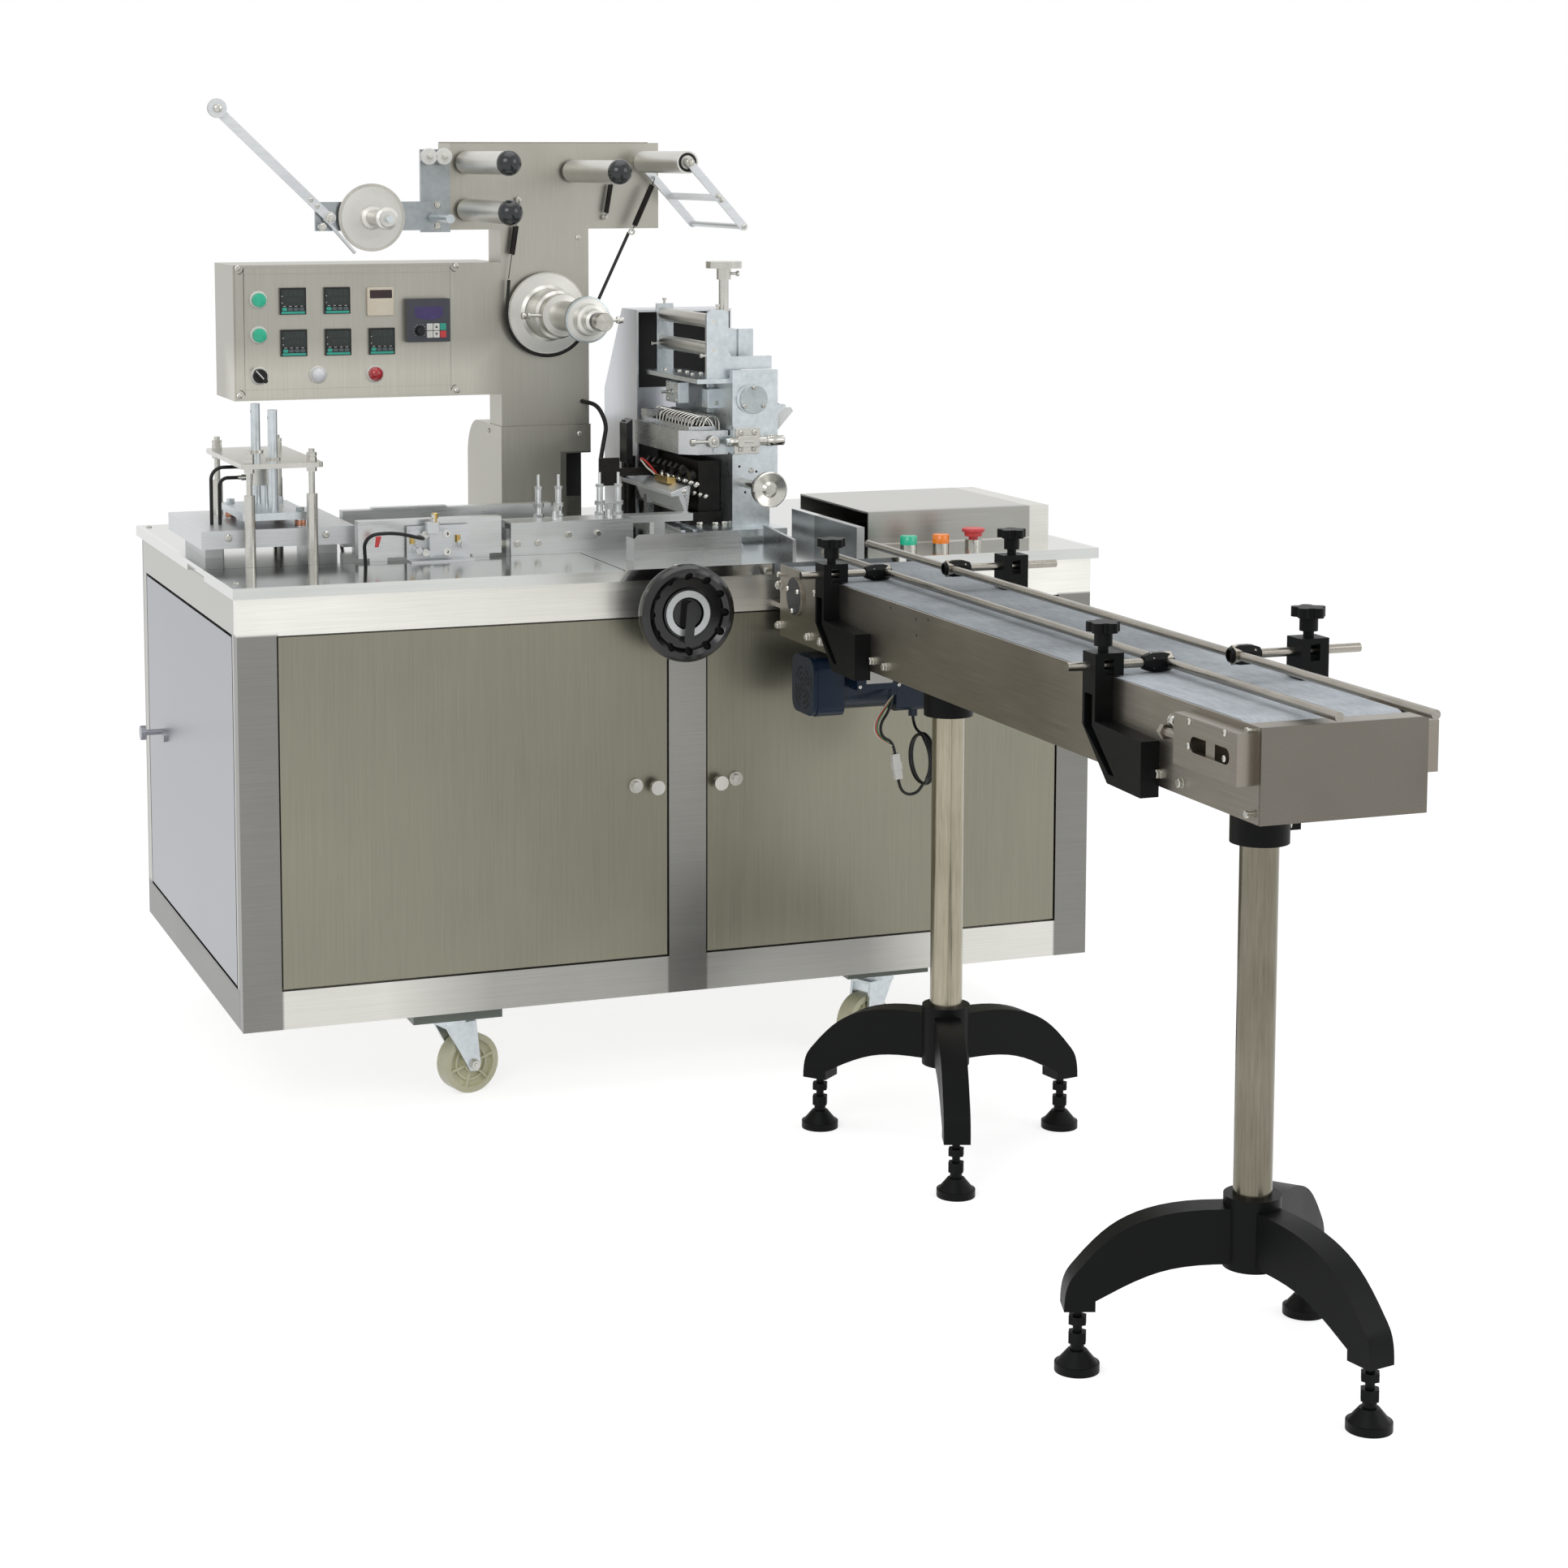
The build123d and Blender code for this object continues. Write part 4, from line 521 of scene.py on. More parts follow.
def place_piece(name, shape, material, body="machine", bevel=0.25):
    """Closes a mesh that was built in table millimetres and lets it ride on a body, if one is given."""
    for vertex in shape.verts:
        vertex.co = at(*vertex.co)
    bmesh.ops.recalc_face_normals(shape, faces=shape.faces)
    for face in shape.faces:
        face.smooth = True
    for edge in shape.edges:
        if len(edge.link_faces) == 2 and edge.calc_face_angle(0) > radians(CREASE):
            edge.smooth = False
    mesh = bpy.data.meshes.new(name)
    shape.to_mesh(mesh)
    shape.free()
    mesh.materials.append(material)
    thing = bpy.data.objects.new(name, mesh)
    scene.collection.objects.link(thing)
    if bevel > 0:
        round_edges(thing, bevel, CREASE)
    if body:
        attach(thing, body)
    return thing


def turned_piece(name, bases, along, profile, material, body="machine", segments=28, bevel=0.0, phase=0.0):
    """Turned solids of one profile as one piece. bases is one place or a list of places."""
    shape = bmesh.new()
    for base in bases if isinstance(bases, list) else [bases]:
        turn_on_lathe(shape, base, along, profile, segments, phase)
    return place_piece(name, shape, material, body, bevel)


def cut_piece(name, plane, cuts, material, body="machine", bevel=0.0):
    """Flat solids in one plane as one piece. Each cut is its outline, its start and its end."""
    shape = bmesh.new()
    for outline, start, end in cuts:
        cut_sheet(shape, outline, plane, start, end)
    return place_piece(name, shape, material, body, bevel)


# %% Screws and bolts
WASHER = 1.4  # millimetres thick


def cap_screw(shape, base, along, radius=4.0, height=3.2):
    """A round-headed screw with a hexagon socket."""
    head = [(0, 0), (0, radius), (height * 0.6, radius), (height, radius * 0.72), (height, radius * 0.42)]
    turn_on_lathe(shape, base, along, head, 20)
    socket = [(height, radius * 0.42), (height * 0.45, radius * 0.42), (height * 0.45, 0)]
    turn_on_lathe(shape, base, along, socket, 6)


def hexagon_bolt(shape, base, along, across=10.0, height=5.0, stud=0.0):
    """A hexagon bolt or nut on its washer, with the stud that stands out of a nut."""
    turn_on_lathe(shape, base, along, plain(across * 0.62, WASHER), 24)
    corner = across / 1.732
    top = WASHER + height
    head = [(WASHER, 0), (WASHER, corner), (WASHER + height * 0.85, corner), (top, corner * 0.86), (top, 0)]
    turn_on_lathe(shape, base, along, head, 6, phase=0.3)
    if stud > 0:
        end = [(top, 0), (top, across * 0.28), (top + stud, across * 0.28), (top + stud + 0.6, 0)]
        turn_on_lathe(shape, base, along, end, 16)


def screw_group(name, spots, along, radius, height, bevel=0.12):
    """Like screws on the machine body, made as one piece."""
    shape = bmesh.new()
    for spot in spots:
        cap_screw(shape, spot, along, radius, height)
    return place_piece(name, shape, turned_steel, bevel=bevel)


print("builders ready")

# %% Bent wires, tubes and springs
SPRING_WIRE = 0.8  # radius in millimetres


def bent_tube(name, points, radius, material, smooth_curve=True, body="machine"):
    """A round wire, tube or spring that follows points in table millimetres."""
    curve = bpy.data.curves.new(name, "CURVE")
    curve.dimensions = "3D"
    curve.bevel_depth = radius / 1000
    curve.bevel_resolution = 3
    curve.use_fill_caps = True
    spline = curve.splines.new("NURBS" if smooth_curve else "POLY")
    spline.points.add(len(points) - 1)
    for control, point in zip(spline.points, points):
        control.co = (*at(*point), 1)
    if smooth_curve:
        spline.order_u = 3
        spline.use_endpoint_u = True
        spline.resolution_u = 8
    curve.materials.append(material)
    thing = bpy.data.objects.new(name, curve)
    scene.collection.objects.link(thing)
    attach(thing, body)
    return thing


def wound_spring(name, top, foot, coil_radius, turns, hook):
    """A close-wound extension spring between two pins, with its straight hooks."""
    start, end = Vector(top), Vector(foot)
    u, v, w = directions(end - start)
    length = (end - start).length
    points = [tuple(start), tuple(start + w * (hook - 2))]
    steps = int(turns * 12)
    for step in range(steps + 1):
        t = 2 * pi * step / 12
        middle = start + w * (hook + (length - 2 * hook) * step / steps)
        points.append(tuple(middle + (u * cos(t) + v * sin(t)) * (coil_radius - SPRING_WIRE)))
    points += [tuple(end - w * (hook - 2)), tuple(end)]
    return bent_tube(name, points, SPRING_WIRE, black_oxide, smooth_curve=False)


# %% [markdown]
# ## The hanging motor lead
# The lead leaves its gland under the terminal box, hangs in one limp loop, runs through a white
# plug and ends in a neat coil of spare cable. A cord is one fixed length of something flexible,
# so it is a smooth spline with few control points, and the coil's turns are more of its points.

# %% Motor lead, plug tail and coil
LEAD = 5.0  # millimetres thick
gland = (1043, -170, 674)
drop = [gland, (1039, -171, 650), (1019, -174, 627), (1023, -174, 605), (1044, -172, 596), (1047, -172, 576)]
plug_axis = (Vector(drop[-1]) - Vector(drop[-2])).normalized()
plug_foot = Vector(drop[-1]) + plug_axis * 42
tail = [tuple(plug_foot), tuple(plug_foot + plug_axis * 17), (1070, -172, 506), (1088, -172, 509)]
coil_middle = Vector((1094.5, -170, 564.5))
coil_side = Vector((-sin(radians(4)), cos(radians(4)), 0))
coil_face = Vector((cos(radians(4)), sin(radians(4)), 0))


def coil_turn(radius, shift, start, end, count):
    """Points of one turn of cable about the coil's middle."""
    points = []
    for step in range(count):
        t = radians(start + (end - start) * step / (count - 1))
        spot = coil_middle + (coil_side * cos(t) + Vector((0, 0, 1)) * sin(t)) * radius + coil_face * shift
        points.append(tuple(spot))
    return points


print("plug runs from z", drop[-1][2], "to", round(plug_foot.z, 1))

# %% Lay the lead
def lay_cord(name, points):
    """A cord as one smooth spline of few control points, with its measured length."""
    cord = bent_tube(name, points, LEAD / 2, rubber)
    line = cord.data.copy()
    line.bevel_depth = 0
    probe = bpy.data.objects.new(name + "_line", line)
    trace = bpy.data.meshes.new_from_object(probe)
    ends = [[trace.vertices[number].co for number in edge.vertices] for edge in trace.edges]
    print(name, "is", round(sum((a - b).length for a, b in ends) * 1000), "mm long")
    bpy.data.objects.remove(probe)
    bpy.data.meshes.remove(trace)
    return cord


lead_sleeve = lay_cord("lead_sleeve", drop)
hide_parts("motor_lead")
rise = [(1094, -171.5, 606.8), (1094, -159, 607.8), (1094.5, -145.5, 612), (1095, -136.5, 621.5),
        (1095, -134, 630)]
turns = coil_turn(41, 0, -100, -440, 12) + coil_turn(43, 4.5, -470, -820, 12)
lead_spare = lay_cord("lead_spare", tail + turns + coil_turn(40, -4.5, -850, -960, 5) + rise)
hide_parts("lead_coil")

# %% [markdown]
# ## Control panel
# The panel is a thin steel plate with an engraved border, round-headed screws at its corners,
# five square temperature controllers, a counter, a speed controller with a knob and keys, two
# green push buttons, a selector and two lamps. The faces are built from small flat pieces that
# stand a few tenths of a millimetre proud, as foil and windows do, and they stay bare.

# %% Panel finishes
def acrylic(name, dark, bright, roughness, drift=15, grain=20, coat=0.4):
    """Polished acrylic, whose marks have no height."""
    return finish(name, dark, bright, 0.0, roughness, grain, drift, 0.0, 0.02, ior=1.49, coat=coat)


glass_dark = finish("glass_smoked_display", "14201d", "1c2a27", 0.0, 0.10, 30, 60, 0.0, 0.02)
digit_grey = finish("lcd_segment_unlit", "3c4a45", "46544e", 0.0, 0.4, 5, 30, 0.0)
digit_red = finish("led_segment_unlit", "3a1b1c", "452324", 0.0, 0.4, 5, 30, 0.0)
foil_teal = finish("polyester_foil_teal", "2f9d8a", "3fb19b", 0.0, 0.38, 4, 20, 0.0)
key_grey = finish("polyester_foil_grey_key", "4b5456", "5d6668", 0.0, 0.42, 4, 20, 0.0)
button_green = acrylic("acrylic_cap_green", "10b48c", "1bc59a", 0.16)
cap_orange = acrylic("acrylic_cap_orange", "f07a12", "ff8f22", 0.20)
lamp_white = acrylic("acrylic_lens_white", "d9dbe0", "ecedf0", 0.18)
lamp_red = acrylic("acrylic_lens_red", "9f101c", "c71f2c", 0.14, drift=12, coat=0.5)
window_red = acrylic("acrylic_window_dark_red", "1c0b0c", "2a1213", 0.14, 30, 30, 0.0)
screen_violet = acrylic("acrylic_window_violet", "37285e", "4a3878", 0.12, 30, 30, 0.0)
case_cream = finish("abs_moulded_cream", "d8ccb8", "e6dcc9", 0.0, 0.40, 1, 40, 0.01, ior=1.54)
case_grey = finish("abs_moulded_slate", "33363e", "40434c", 0.0, 0.38, 1, 40, 0.01, ior=1.54)
engraved = finish("steel_engraved_black_line", "2c2c2a", "3c3b38", 0.2, 0.5, 3, 30, 0.0)
print("materials so far:", len(bpy.data.materials))

# %% Border and corner screws
PANEL = 758.0  # the depth of the panel's face
corners = ((168, 1343), (571, 1343), (571, 1114), (168, 1114))
middle_x, middle_z = 369.5, 1228.5
border = []
for cx, cz in corners:
    sx, sz = (1 if cx > middle_x else -1), (1 if cz > middle_z else -1)
    ring = [(cx - sx * 11 * cos(radians(t)), cz - sz * 11 * sin(radians(t))) for t in range(0, 91, 18)]
    border += ring if sx * sz < 0 else ring[::-1]
bent_tube("panel_border", [(x, PANEL - 0.05, z) for x, z in border + border[:1]], 0.7, engraved, False)
screw_group("panel_screws", [(x, PANEL, z) for x, z in corners], FRONT, radius=5.2, height=3.0)
print("border points:", len(border))

# %% Seven-segment digits
SEGMENTS = ((0, 1, 0.5), (0, 0, 0.5), (0, -1, 0.5), (-1, 0.5, 1), (1, 0.5, 1), (-1, -0.5, 1), (1, -0.5, 1))


def digit(shape, x, z, height, depth):
    """One unlit seven-segment digit, centred on x, z."""
    half, wide = height / 2, height / 3.6
    for across, up, upright in SEGMENTS:
        width, tall = (wide * 1.5, height * 0.07) if upright == 0.5 else (height * 0.07, half * 0.8)
        cut_sheet(shape, oblong(x + across * wide, z + up * half, width, tall), "xz", depth, depth - 0.12)


# %% Temperature controllers
controllers = ((267, 1283), (348, 1283), (268, 1208), (349, 1208), (430, 1208))
face = PANEL - 6
window, numbers, keys, strip, marks = (bmesh.new() for part in range(5))
for x, z in controllers:
    cut_sheet(window, oblong(x, z + 6.5, 43, 29, 1.5), "xz", face, face - 0.35)
    for step in range(4):
        digit(numbers, x - 13 + 9.4 * step, z + 14.5, 8.5, face - 0.35)
        digit(numbers, x - 8 + 7 * step, z + 2.0, 6.0, face - 0.35)
    for step in range(4):
        cut_sheet(keys, oblong(x - 15.6 + 10.4 * step, z - 14.2, 8.8, 5.6, 1.6), "xz", face, face - 0.6)
        cut_sheet(marks, oblong(x - 15.6 + 10.4 * step, z - 8.9, 4.6, 0.8), "xz", face, face - 0.3)
    for side in (9, -3):
        cut_sheet(marks, oblong(x - 20, z + side, 1.6, 1.2), "xz", face - 0.35, face - 0.5)
    cut_sheet(strip, oblong(x, z - 20.4, 43, 4.2, 0.6), "xz", face, face - 0.4)
place_piece("controller_windows", window, glass_dark, bevel=0)
place_piece("controller_digits", numbers, digit_grey, bevel=0)
place_piece("controller_keys", keys, key_grey, bevel=0.15)
place_piece("controller_strips", strip, foil_teal, bevel=0)
place_piece("controller_marks", marks, nylon_white, bevel=0)
first_keys = [(oblong(x - 15.6, z - 14.2, 9.0, 5.8, 1.6), face, PANEL - 6.75) for x, z in controllers]
cut_piece("controller_mode_keys", "xz", first_keys, foil_teal, bevel=0.15)
print("controllers:", len(controllers))

# %% Counter
case = (oblong(428, 1280, 49.2, 51.2, 2.5), PANEL - 0.1, PANEL - 7.2)
cut_piece("counter_case", "xz", [case], case_cream, bevel=0.8)
window = (oblong(428.5, 1293.5, 41, 15, 0.8), PANEL - 7.2, PANEL - 7.5)
cut_piece("counter_window", "xz", [window], window_red)
numbers = bmesh.new()
for step in range(5):
    digit(numbers, 412.5 + 8 * step, 1293.5, 9, PANEL - 7.5)
place_piece("counter_digits", numbers, digit_red, bevel=0)
print("counter dressed")

# %% Speed controller
face = PANEL - 18
case = (oblong(514, 1245, 81, 79, 2.5), face + 0.4, face - 0.5)
cut_piece("speed_case_front", "xz", [case], case_grey, bevel=0.4)
arch = [(488, 1255), (488, 1270), (541, 1270), (541, 1255)]
arch += [(514.5 + 26.5 * cos(radians(t)), 1255 + 9 * sin(radians(t))) for t in range(-15, -170, -15)]
cut_piece("speed_screen", "xz", [(arch, face - 0.5, face - 0.9)], screen_violet)
dial = [(0, 0), (0, 9.5), (0.9, 9.5), (0.9, 8.2), (9, 7.4), (10, 6.4), (10, 0)]
turned_piece("speed_dial", (497.5, face - 0.5, 1226.5), FRONT, dial, abs_black, segments=24, bevel=0.25)
dots = []
for step in range(11):
    t = radians(225 - 27 * step)
    dots.append((oblong(497.5 + 11.8 * cos(t), 1226.5 + 11.8 * sin(t), 1.0, 1.0), face - 0.5, face - 0.7))
cut_piece("speed_dial_scale", "xz", dots, nylon_white)
key_paints = ((nylon_white, nylon_white, foil_teal), (nylon_white, nylon_white, red_plastic))
for row, z in enumerate((1233, 1219.5)):
    for column, x in enumerate((516, 528.5, 541)):
        key = (oblong(x, z, 11.4, 12.4, 1.2), face - 0.5, face - 1.6)
        cut_piece(f"speed_key_{row}_{column}", "xz", [key], key_paints[row][column], bevel=0.3)
arrows = ([(526, 1231), (531, 1231), (528.5, 1236)], [(526, 1222), (531, 1222), (528.5, 1217)])
cut_piece("speed_arrows", "xz", [(arrow, face - 1.6, face - 1.8) for arrow in arrows], abs_black)
print("speed controller dressed")

# %% Push buttons and lamps
for name, x, z, paint, bulge in (
        ("heater_button_upper", 205, 1286, button_green, 1.4),
        ("heater_button_lower", 205, 1223, button_green, 1.4),
        ("power_lamp", 312, 1150, lamp_white, 5), ("stop_lamp", 417, 1149, lamp_red, 5)):
    dome = [(5.2, 0), (5.2, 12.4), (12.4, 12.4), (13.2, 11.8), (13.2 + bulge * 0.7, 7.5), (13.2 + bulge, 3.5),
            (13.2 + bulge, 0)]
    turned_piece(name, (x, PANEL, z), FRONT, dome, paint, segments=36)
collar = [(0, 13), (0, 16.2), (3.6, 16.0), (5.4, 15.0), (5.4, 13)]
spots = [(x, PANEL, z) for x, z in ((205, 1286), (205, 1223), (312, 1150), (417, 1149), (205, 1150))]
turned_piece("button_collars", spots, FRONT, collar, nylon_white, segments=40, bevel=0.2)
print("buttons and lamps placed")

# %% Selector handle
LEAN = radians(132)
ahead, aside = Vector((cos(LEAN), 0, sin(LEAN))), Vector((-sin(LEAN), 0, cos(LEAN)))


def on_handle(pairs):
    """The panel's x, z for places that are given along and across the handle."""
    spots = [Vector((205, 0, 1150)) + ahead * a + aside * b for a, b in pairs]
    return [(spot.x, spot.z) for spot in spots]


knob = bmesh.new()
skirt = [(-4.4, 0), (-4.4, 4), (0, 4), (0, 13), (5, 12.6), (6.4, 11.6), (6.4, 0)]
turn_on_lathe(knob, (205, PANEL - 5.3, 1150), FRONT, skirt, 36)
grip = on_handle(((15.5, -3), (15.5, 3), (11, 4.4), (-11, 4.4), (-15, 2.6), (-15, -2.6), (-11, -4.4),
                  (11, -4.4)))
cut_sheet(knob, grip, "xz", PANEL - 11.5, PANEL - 20)
place_piece("selector_handle", knob, abs_black, "selector_knob", bevel=0.6)
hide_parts("selector_knob")
stripe = on_handle(((14.5, -1), (14.5, 1), (-6, 1), (-6, -1)))
cut_piece("selector_line", "xz", [(stripe, PANEL - 20, PANEL - 20.25)], nylon_white, "selector_knob")
print("handle leans", round(LEAN, 2), "radians")

# %% Buttons on the table
cap = [(10, 0), (10, 14.7), (23.6, 14.7), (25.3, 13.4), (25.6, 12), (25.6, 0)]
turned_piece("start_cap", (1179, 80, 874), UP, cap, button_green, segments=36)
turned_piece("jog_cap", (1239, 80, 874), UP, cap, cap_orange, segments=36)
mushroom = [(6, 0), (6, 8), (19, 8), (19.5, 15), (26, 15.4), (27, 19), (30.5, 20), (33, 18.6), (33.8, 15),
            (34, 0)]
turned_piece("stop_mushroom", (1300, 80, 874), UP, mushroom, red_plastic, "emergency_stop", segments=44)
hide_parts("emergency_stop")
print("table buttons placed")

# %% [markdown]
# ## Column, rollers and film reel
# The guide rollers end in polished black caps, slightly larger than the rollers. The springs are
# real close-wound coils. The reel's brake disc and flange were faced on a lathe, so their fine rings
# throw light in bright sectors, which a radial tangent with a stretched highlight gives.

# %% Faced metal
def faced(name, dark, bright, roughness):
    """Metal that was faced on a lathe, whose highlight spreads in sectors from its middle."""
    material = finish(name, dark, bright, 1.0, roughness, 3, 60, 0.0, 0.03)
    tree = material.node_tree
    rings = node(tree, "ShaderNodeTangent", direction_type="RADIAL", axis="Y")
    shader = tree.nodes["Principled BSDF"]
    tree.links.new(rings.outputs[0], shader.inputs["Tangent"])
    shader.inputs["Anisotropic"].default_value = 0.85
    return material


faced_aluminium = faced("aluminium_faced_on_lathe", "aeaca4", "c4c2ba", 0.26)
faced_zinc = faced("steel_faced_and_zinc_plated", "9aa1a3", "bcc3c4", 0.22)
print("faced metals:", faced_aluminium.name, faced_zinc.name)

# %% Roller caps
dome = [(-1, 0), (-1, 21.4), (1.5, 22.4), (6, 21.9), (11, 19.6), (15, 15.6), (18, 9.8), (19.5, 4.4),
        (19.9, 0)]
for letter, x, z in (("a", 590, 1530), ("b", 592, 1444), ("c", 793, 1514)):
    turned_piece(f"roller_cap_{letter}", (x, 476, z), FRONT, dome, cap_black, f"guide_roller_{letter}", 40)
print("roller caps stand", dome[-1][0], "mm proud")

# %% Springs and their pins
upper_spring = wound_spring("upper_spring", (866, 745, 1495), (855, 745, 1432), 5, 30, 6)
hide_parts("anchor_springs")
wound_spring("cord_spring", (689, 745, 1459), (667, 745, 1318), 5.6, 46, 46)
pins = bmesh.new()
for x, z in ((689, 1462), (855, 1429), (866, 1498)):
    turn_on_lathe(pins, (x, 760, z), FRONT, [(-2, 0), (-2, 2.6), (22, 2.6), (22, 0)], 16)
    hexagon_bolt(pins, (x, 752, z), FRONT, across=8, height=4)
place_piece("spring_pins", pins, turned_steel)

# %% Brake spring
top, foot = Vector((943.6, 724, 1498.9)), Vector((899, 724, 1403))
coils = 46
reach = (foot - top).length
pitch = (reach - 24) / coils
profile = [(0, 0), (0, 0.9), (11, 0.9)]
for ring in range(coils):
    along = 12 + (reach - 24) * ring / coils
    wave = ((0.05, 4.7), (0.3, 5.5), (0.7, 5.5), (0.95, 4.7))
    profile += [(along + pitch * part, radius) for part, radius in wave]
profile += [(reach - 11, 0.9), (reach, 0.9), (reach, 0)]
brake_coils = turned_piece("brake_coils", top, foot - top, profile, black_oxide, None, 16)
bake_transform(brake_coils)
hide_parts("brake_spring")
eye = [(0, 3.6), (0, 6.2), (2.2, 6.4), (4.4, 6.2), (4.4, 3.6), (2.2, 3.4), (0, 3.6)]
turned_piece("brake_eye", (899, 727, 1402.5), FRONT, eye, turned_steel, segments=24)
print("springs wound")

# %% Dancer arm fittings
lean = radians(-48)
ahead = Vector((cos(lean), 0, sin(lean)))
hub = Vector((920, 464, 1531))
nuts = bmesh.new()
hexagon_bolt(nuts, hub, FRONT, across=14, height=5, stud=3)
for reach in (80, 90):
    hexagon_bolt(nuts, hub + ahead * reach, FRONT, across=7, height=4, stud=2)
cap_screw(nuts, hub + ahead * 154, FRONT, radius=4.2, height=3)
place_piece("dancer_nuts", nuts, turned_steel, "dancer_arm", bevel=0.1)
bearing = [(0, 12.2), (0, 16.8), (1.7, 16.6), (1.7, 12.2), (0, 12.2)]
turned_piece("dancer_roller_bearing", (920, 476.5, 1531), FRONT, bearing, black_oxide, "dancer_roller", 40)

# %% Film reel faces
disc = [(-0.3, 53), (-0.3, 74.7), (0.3, 74.3), (0.3, 53), (-0.3, 53)]
turned_piece("brake_disc_face", (741, 743.0, 1254), FRONT, disc, faced_aluminium, "film_reel", 72)
flange = [(-10, 40.4), (-10, 41.3), (0.2, 41.3), (0.5, 40.6), (0.5, 29.4), (-0.3, 29.4), (-0.3, 40.4),
          (-10, 40.4)]
turned_piece("reel_flange_face", (741, 498.0, 1254), FRONT, flange, faced_zinc, "film_reel", 60)
cap = [(0, 0), (0, 16.2), (22, 16.2), (24.6, 15.4), (24.8, 0)]
turned_piece("reel_shaft_cap", (741, 426, 1254), FRONT, cap, faced_aluminium, "film_reel", 44)
# A black band paints the shade in the gap behind the shaft cap.
band = [(0, 14), (0, 15.3), (17.8, 15.3), (17.8, 14)]
turned_piece("reel_gap_painted_shade", (741, 444, 1254), FRONT, band, abs_black, "film_reel", 40)
thumb = [(0, 0), (0, 5.6), (1, 6.2), (7, 6.2), (8, 5.6), (8, 0)]
turned_piece("reel_screw_left", (675, 662, 1254), LEFT, thumb, turned_steel, "film_reel", 20, bevel=0.2)
turned_piece("reel_screw_right", (784, 468, 1254), RIGHT, thumb, turned_steel, "film_reel", 20, bevel=0.2)
print("film reel dressed")

# %% Column screws and seams
screw_group("column_screws", [(806, 757, 1028), (806, 760, 1392)], FRONT, radius=4.5, height=2.6)
screw_group("column_side_screw", [(655, 841, 1031)], LEFT, radius=4.5, height=2.6)
seams = [(oblong(742, 1045, 173, 1.2), 757.3, 756.6), (oblong(741.5, 1566.3, 401, 2.2), 760.2, 758.9)]
cut_piece("column_seams", "xz", seams, steel["rail"])

# %% [markdown]
# ## Wrapping head
# The head is the fussiest part of the machine. Matt black sheets line its tower inside, a polished casting
# with two rows of bent spring fingers feeds the film, hinge plates clamp the swinging rod, and
# toothed belts and a row of bright screws run through the black folding gear underneath.

# %% Tower lining and belts
lining = bmesh.new()
cut_sheet(lining, oblong(972, 1186.5, 176, 141), "xz", 695.6, 694.4)
cut_sheet(lining, oblong(668, 1186.5, 52, 141), "yz", 883.2, 884.2)
cut_sheet(lining, oblong(668, 975, 52, 170), "yz", 883.2, 884.2)
cut_sheet(lining, oblong(972, 967, 176, 170), "xz", 695.6, 694.4)
place_piece("tower_lining", lining, matt_black_and_painted_shade, bevel=0)
cuts = []
for x, y, low, high in ((851, 622, 890, 1062), (884, 622, 908, 984)):
    cuts.append((oblong(x, (low + high) / 2, 5, high - low), y, y + 15))
    for tooth in range(int((high - low) / 5)):
        cuts.append((oblong(x + 3.6, low + 3 + 5 * tooth, 2.4, 2.4), y, y + 15))
cut_piece("toothed_belts", "xz", cuts, rubber)
guard = [(846, 985), (858, 985), (858, 1066), (846, 1058)]
cut_piece("belt_guard", "xz", [(guard, 640, 600)], abs_black, bevel=0.5)
print("belt teeth:", len(cuts) - 2)

# %% Spring fingers on the casting
def spring_fingers(rows):
    """Rows of bent chrome wires that stand in the casting and curl over its slot."""
    count = 0
    for x, lean_x, start, step, total in rows:
        for number in range(total):
            y = start + step * number
            points = [(x, y, 1062), (x, y, 1074), (x + lean_x * 4, y - 2, 1082),
                      (x + lean_x * 16, y - 7, 1088), (x + lean_x * 30, y - 12, 1083),
                      (x + lean_x * 36, y - 14, 1069)]
            bent_tube(f"finger_{count:02d}", points, 1.6, turned_steel)
            count += 1
    return count


print("spring fingers:", spring_fingers(((898, 1, 394, 17, 14), (947, -1, 386, 17, 13))))
# A thin dark plate paints the shade in the casting's slot under the fingers.
cut_piece("finger_trough", "xy", [(oblong(917, 512, 36, 226, 3), 1068.1, 1068.7)], matt_black_and_painted_shade)

# %% Clamp blocks and their screws
blocks = [(oblong(914, 1121, 20, 38, 2), 548, 480), (oblong(955, 1114, 34, 36, 2), 452, 420),
          (oblong(955, 1116, 14, 60, 2), 470, 452)]
cut_piece("clamp_blocks", "xz", blocks, zinc, bevel=0.8)
screws = bmesh.new()
for z in (1107, 1134):
    for y in (492, 536):
        cap_screw(screws, (904, y, z), LEFT, radius=3, height=2.4)
hexagon_bolt(screws, (904, 514, 1121), LEFT, across=9, height=5, stud=14)
cap_screw(screws, (955, 420, 1106), FRONT, radius=3.4, height=3)
for x, y in ((932, 554), (935, 522), (925, 465), (918, 590), (946, 480)):
    cap_screw(screws, (x, y, 1154), UP, radius=4, height=4)
hexagon_bolt(screws, (962, 600, 1118), FRONT, across=13, height=6, stud=6)
place_piece("clamp_screws", screws, turned_steel, bevel=0.1)

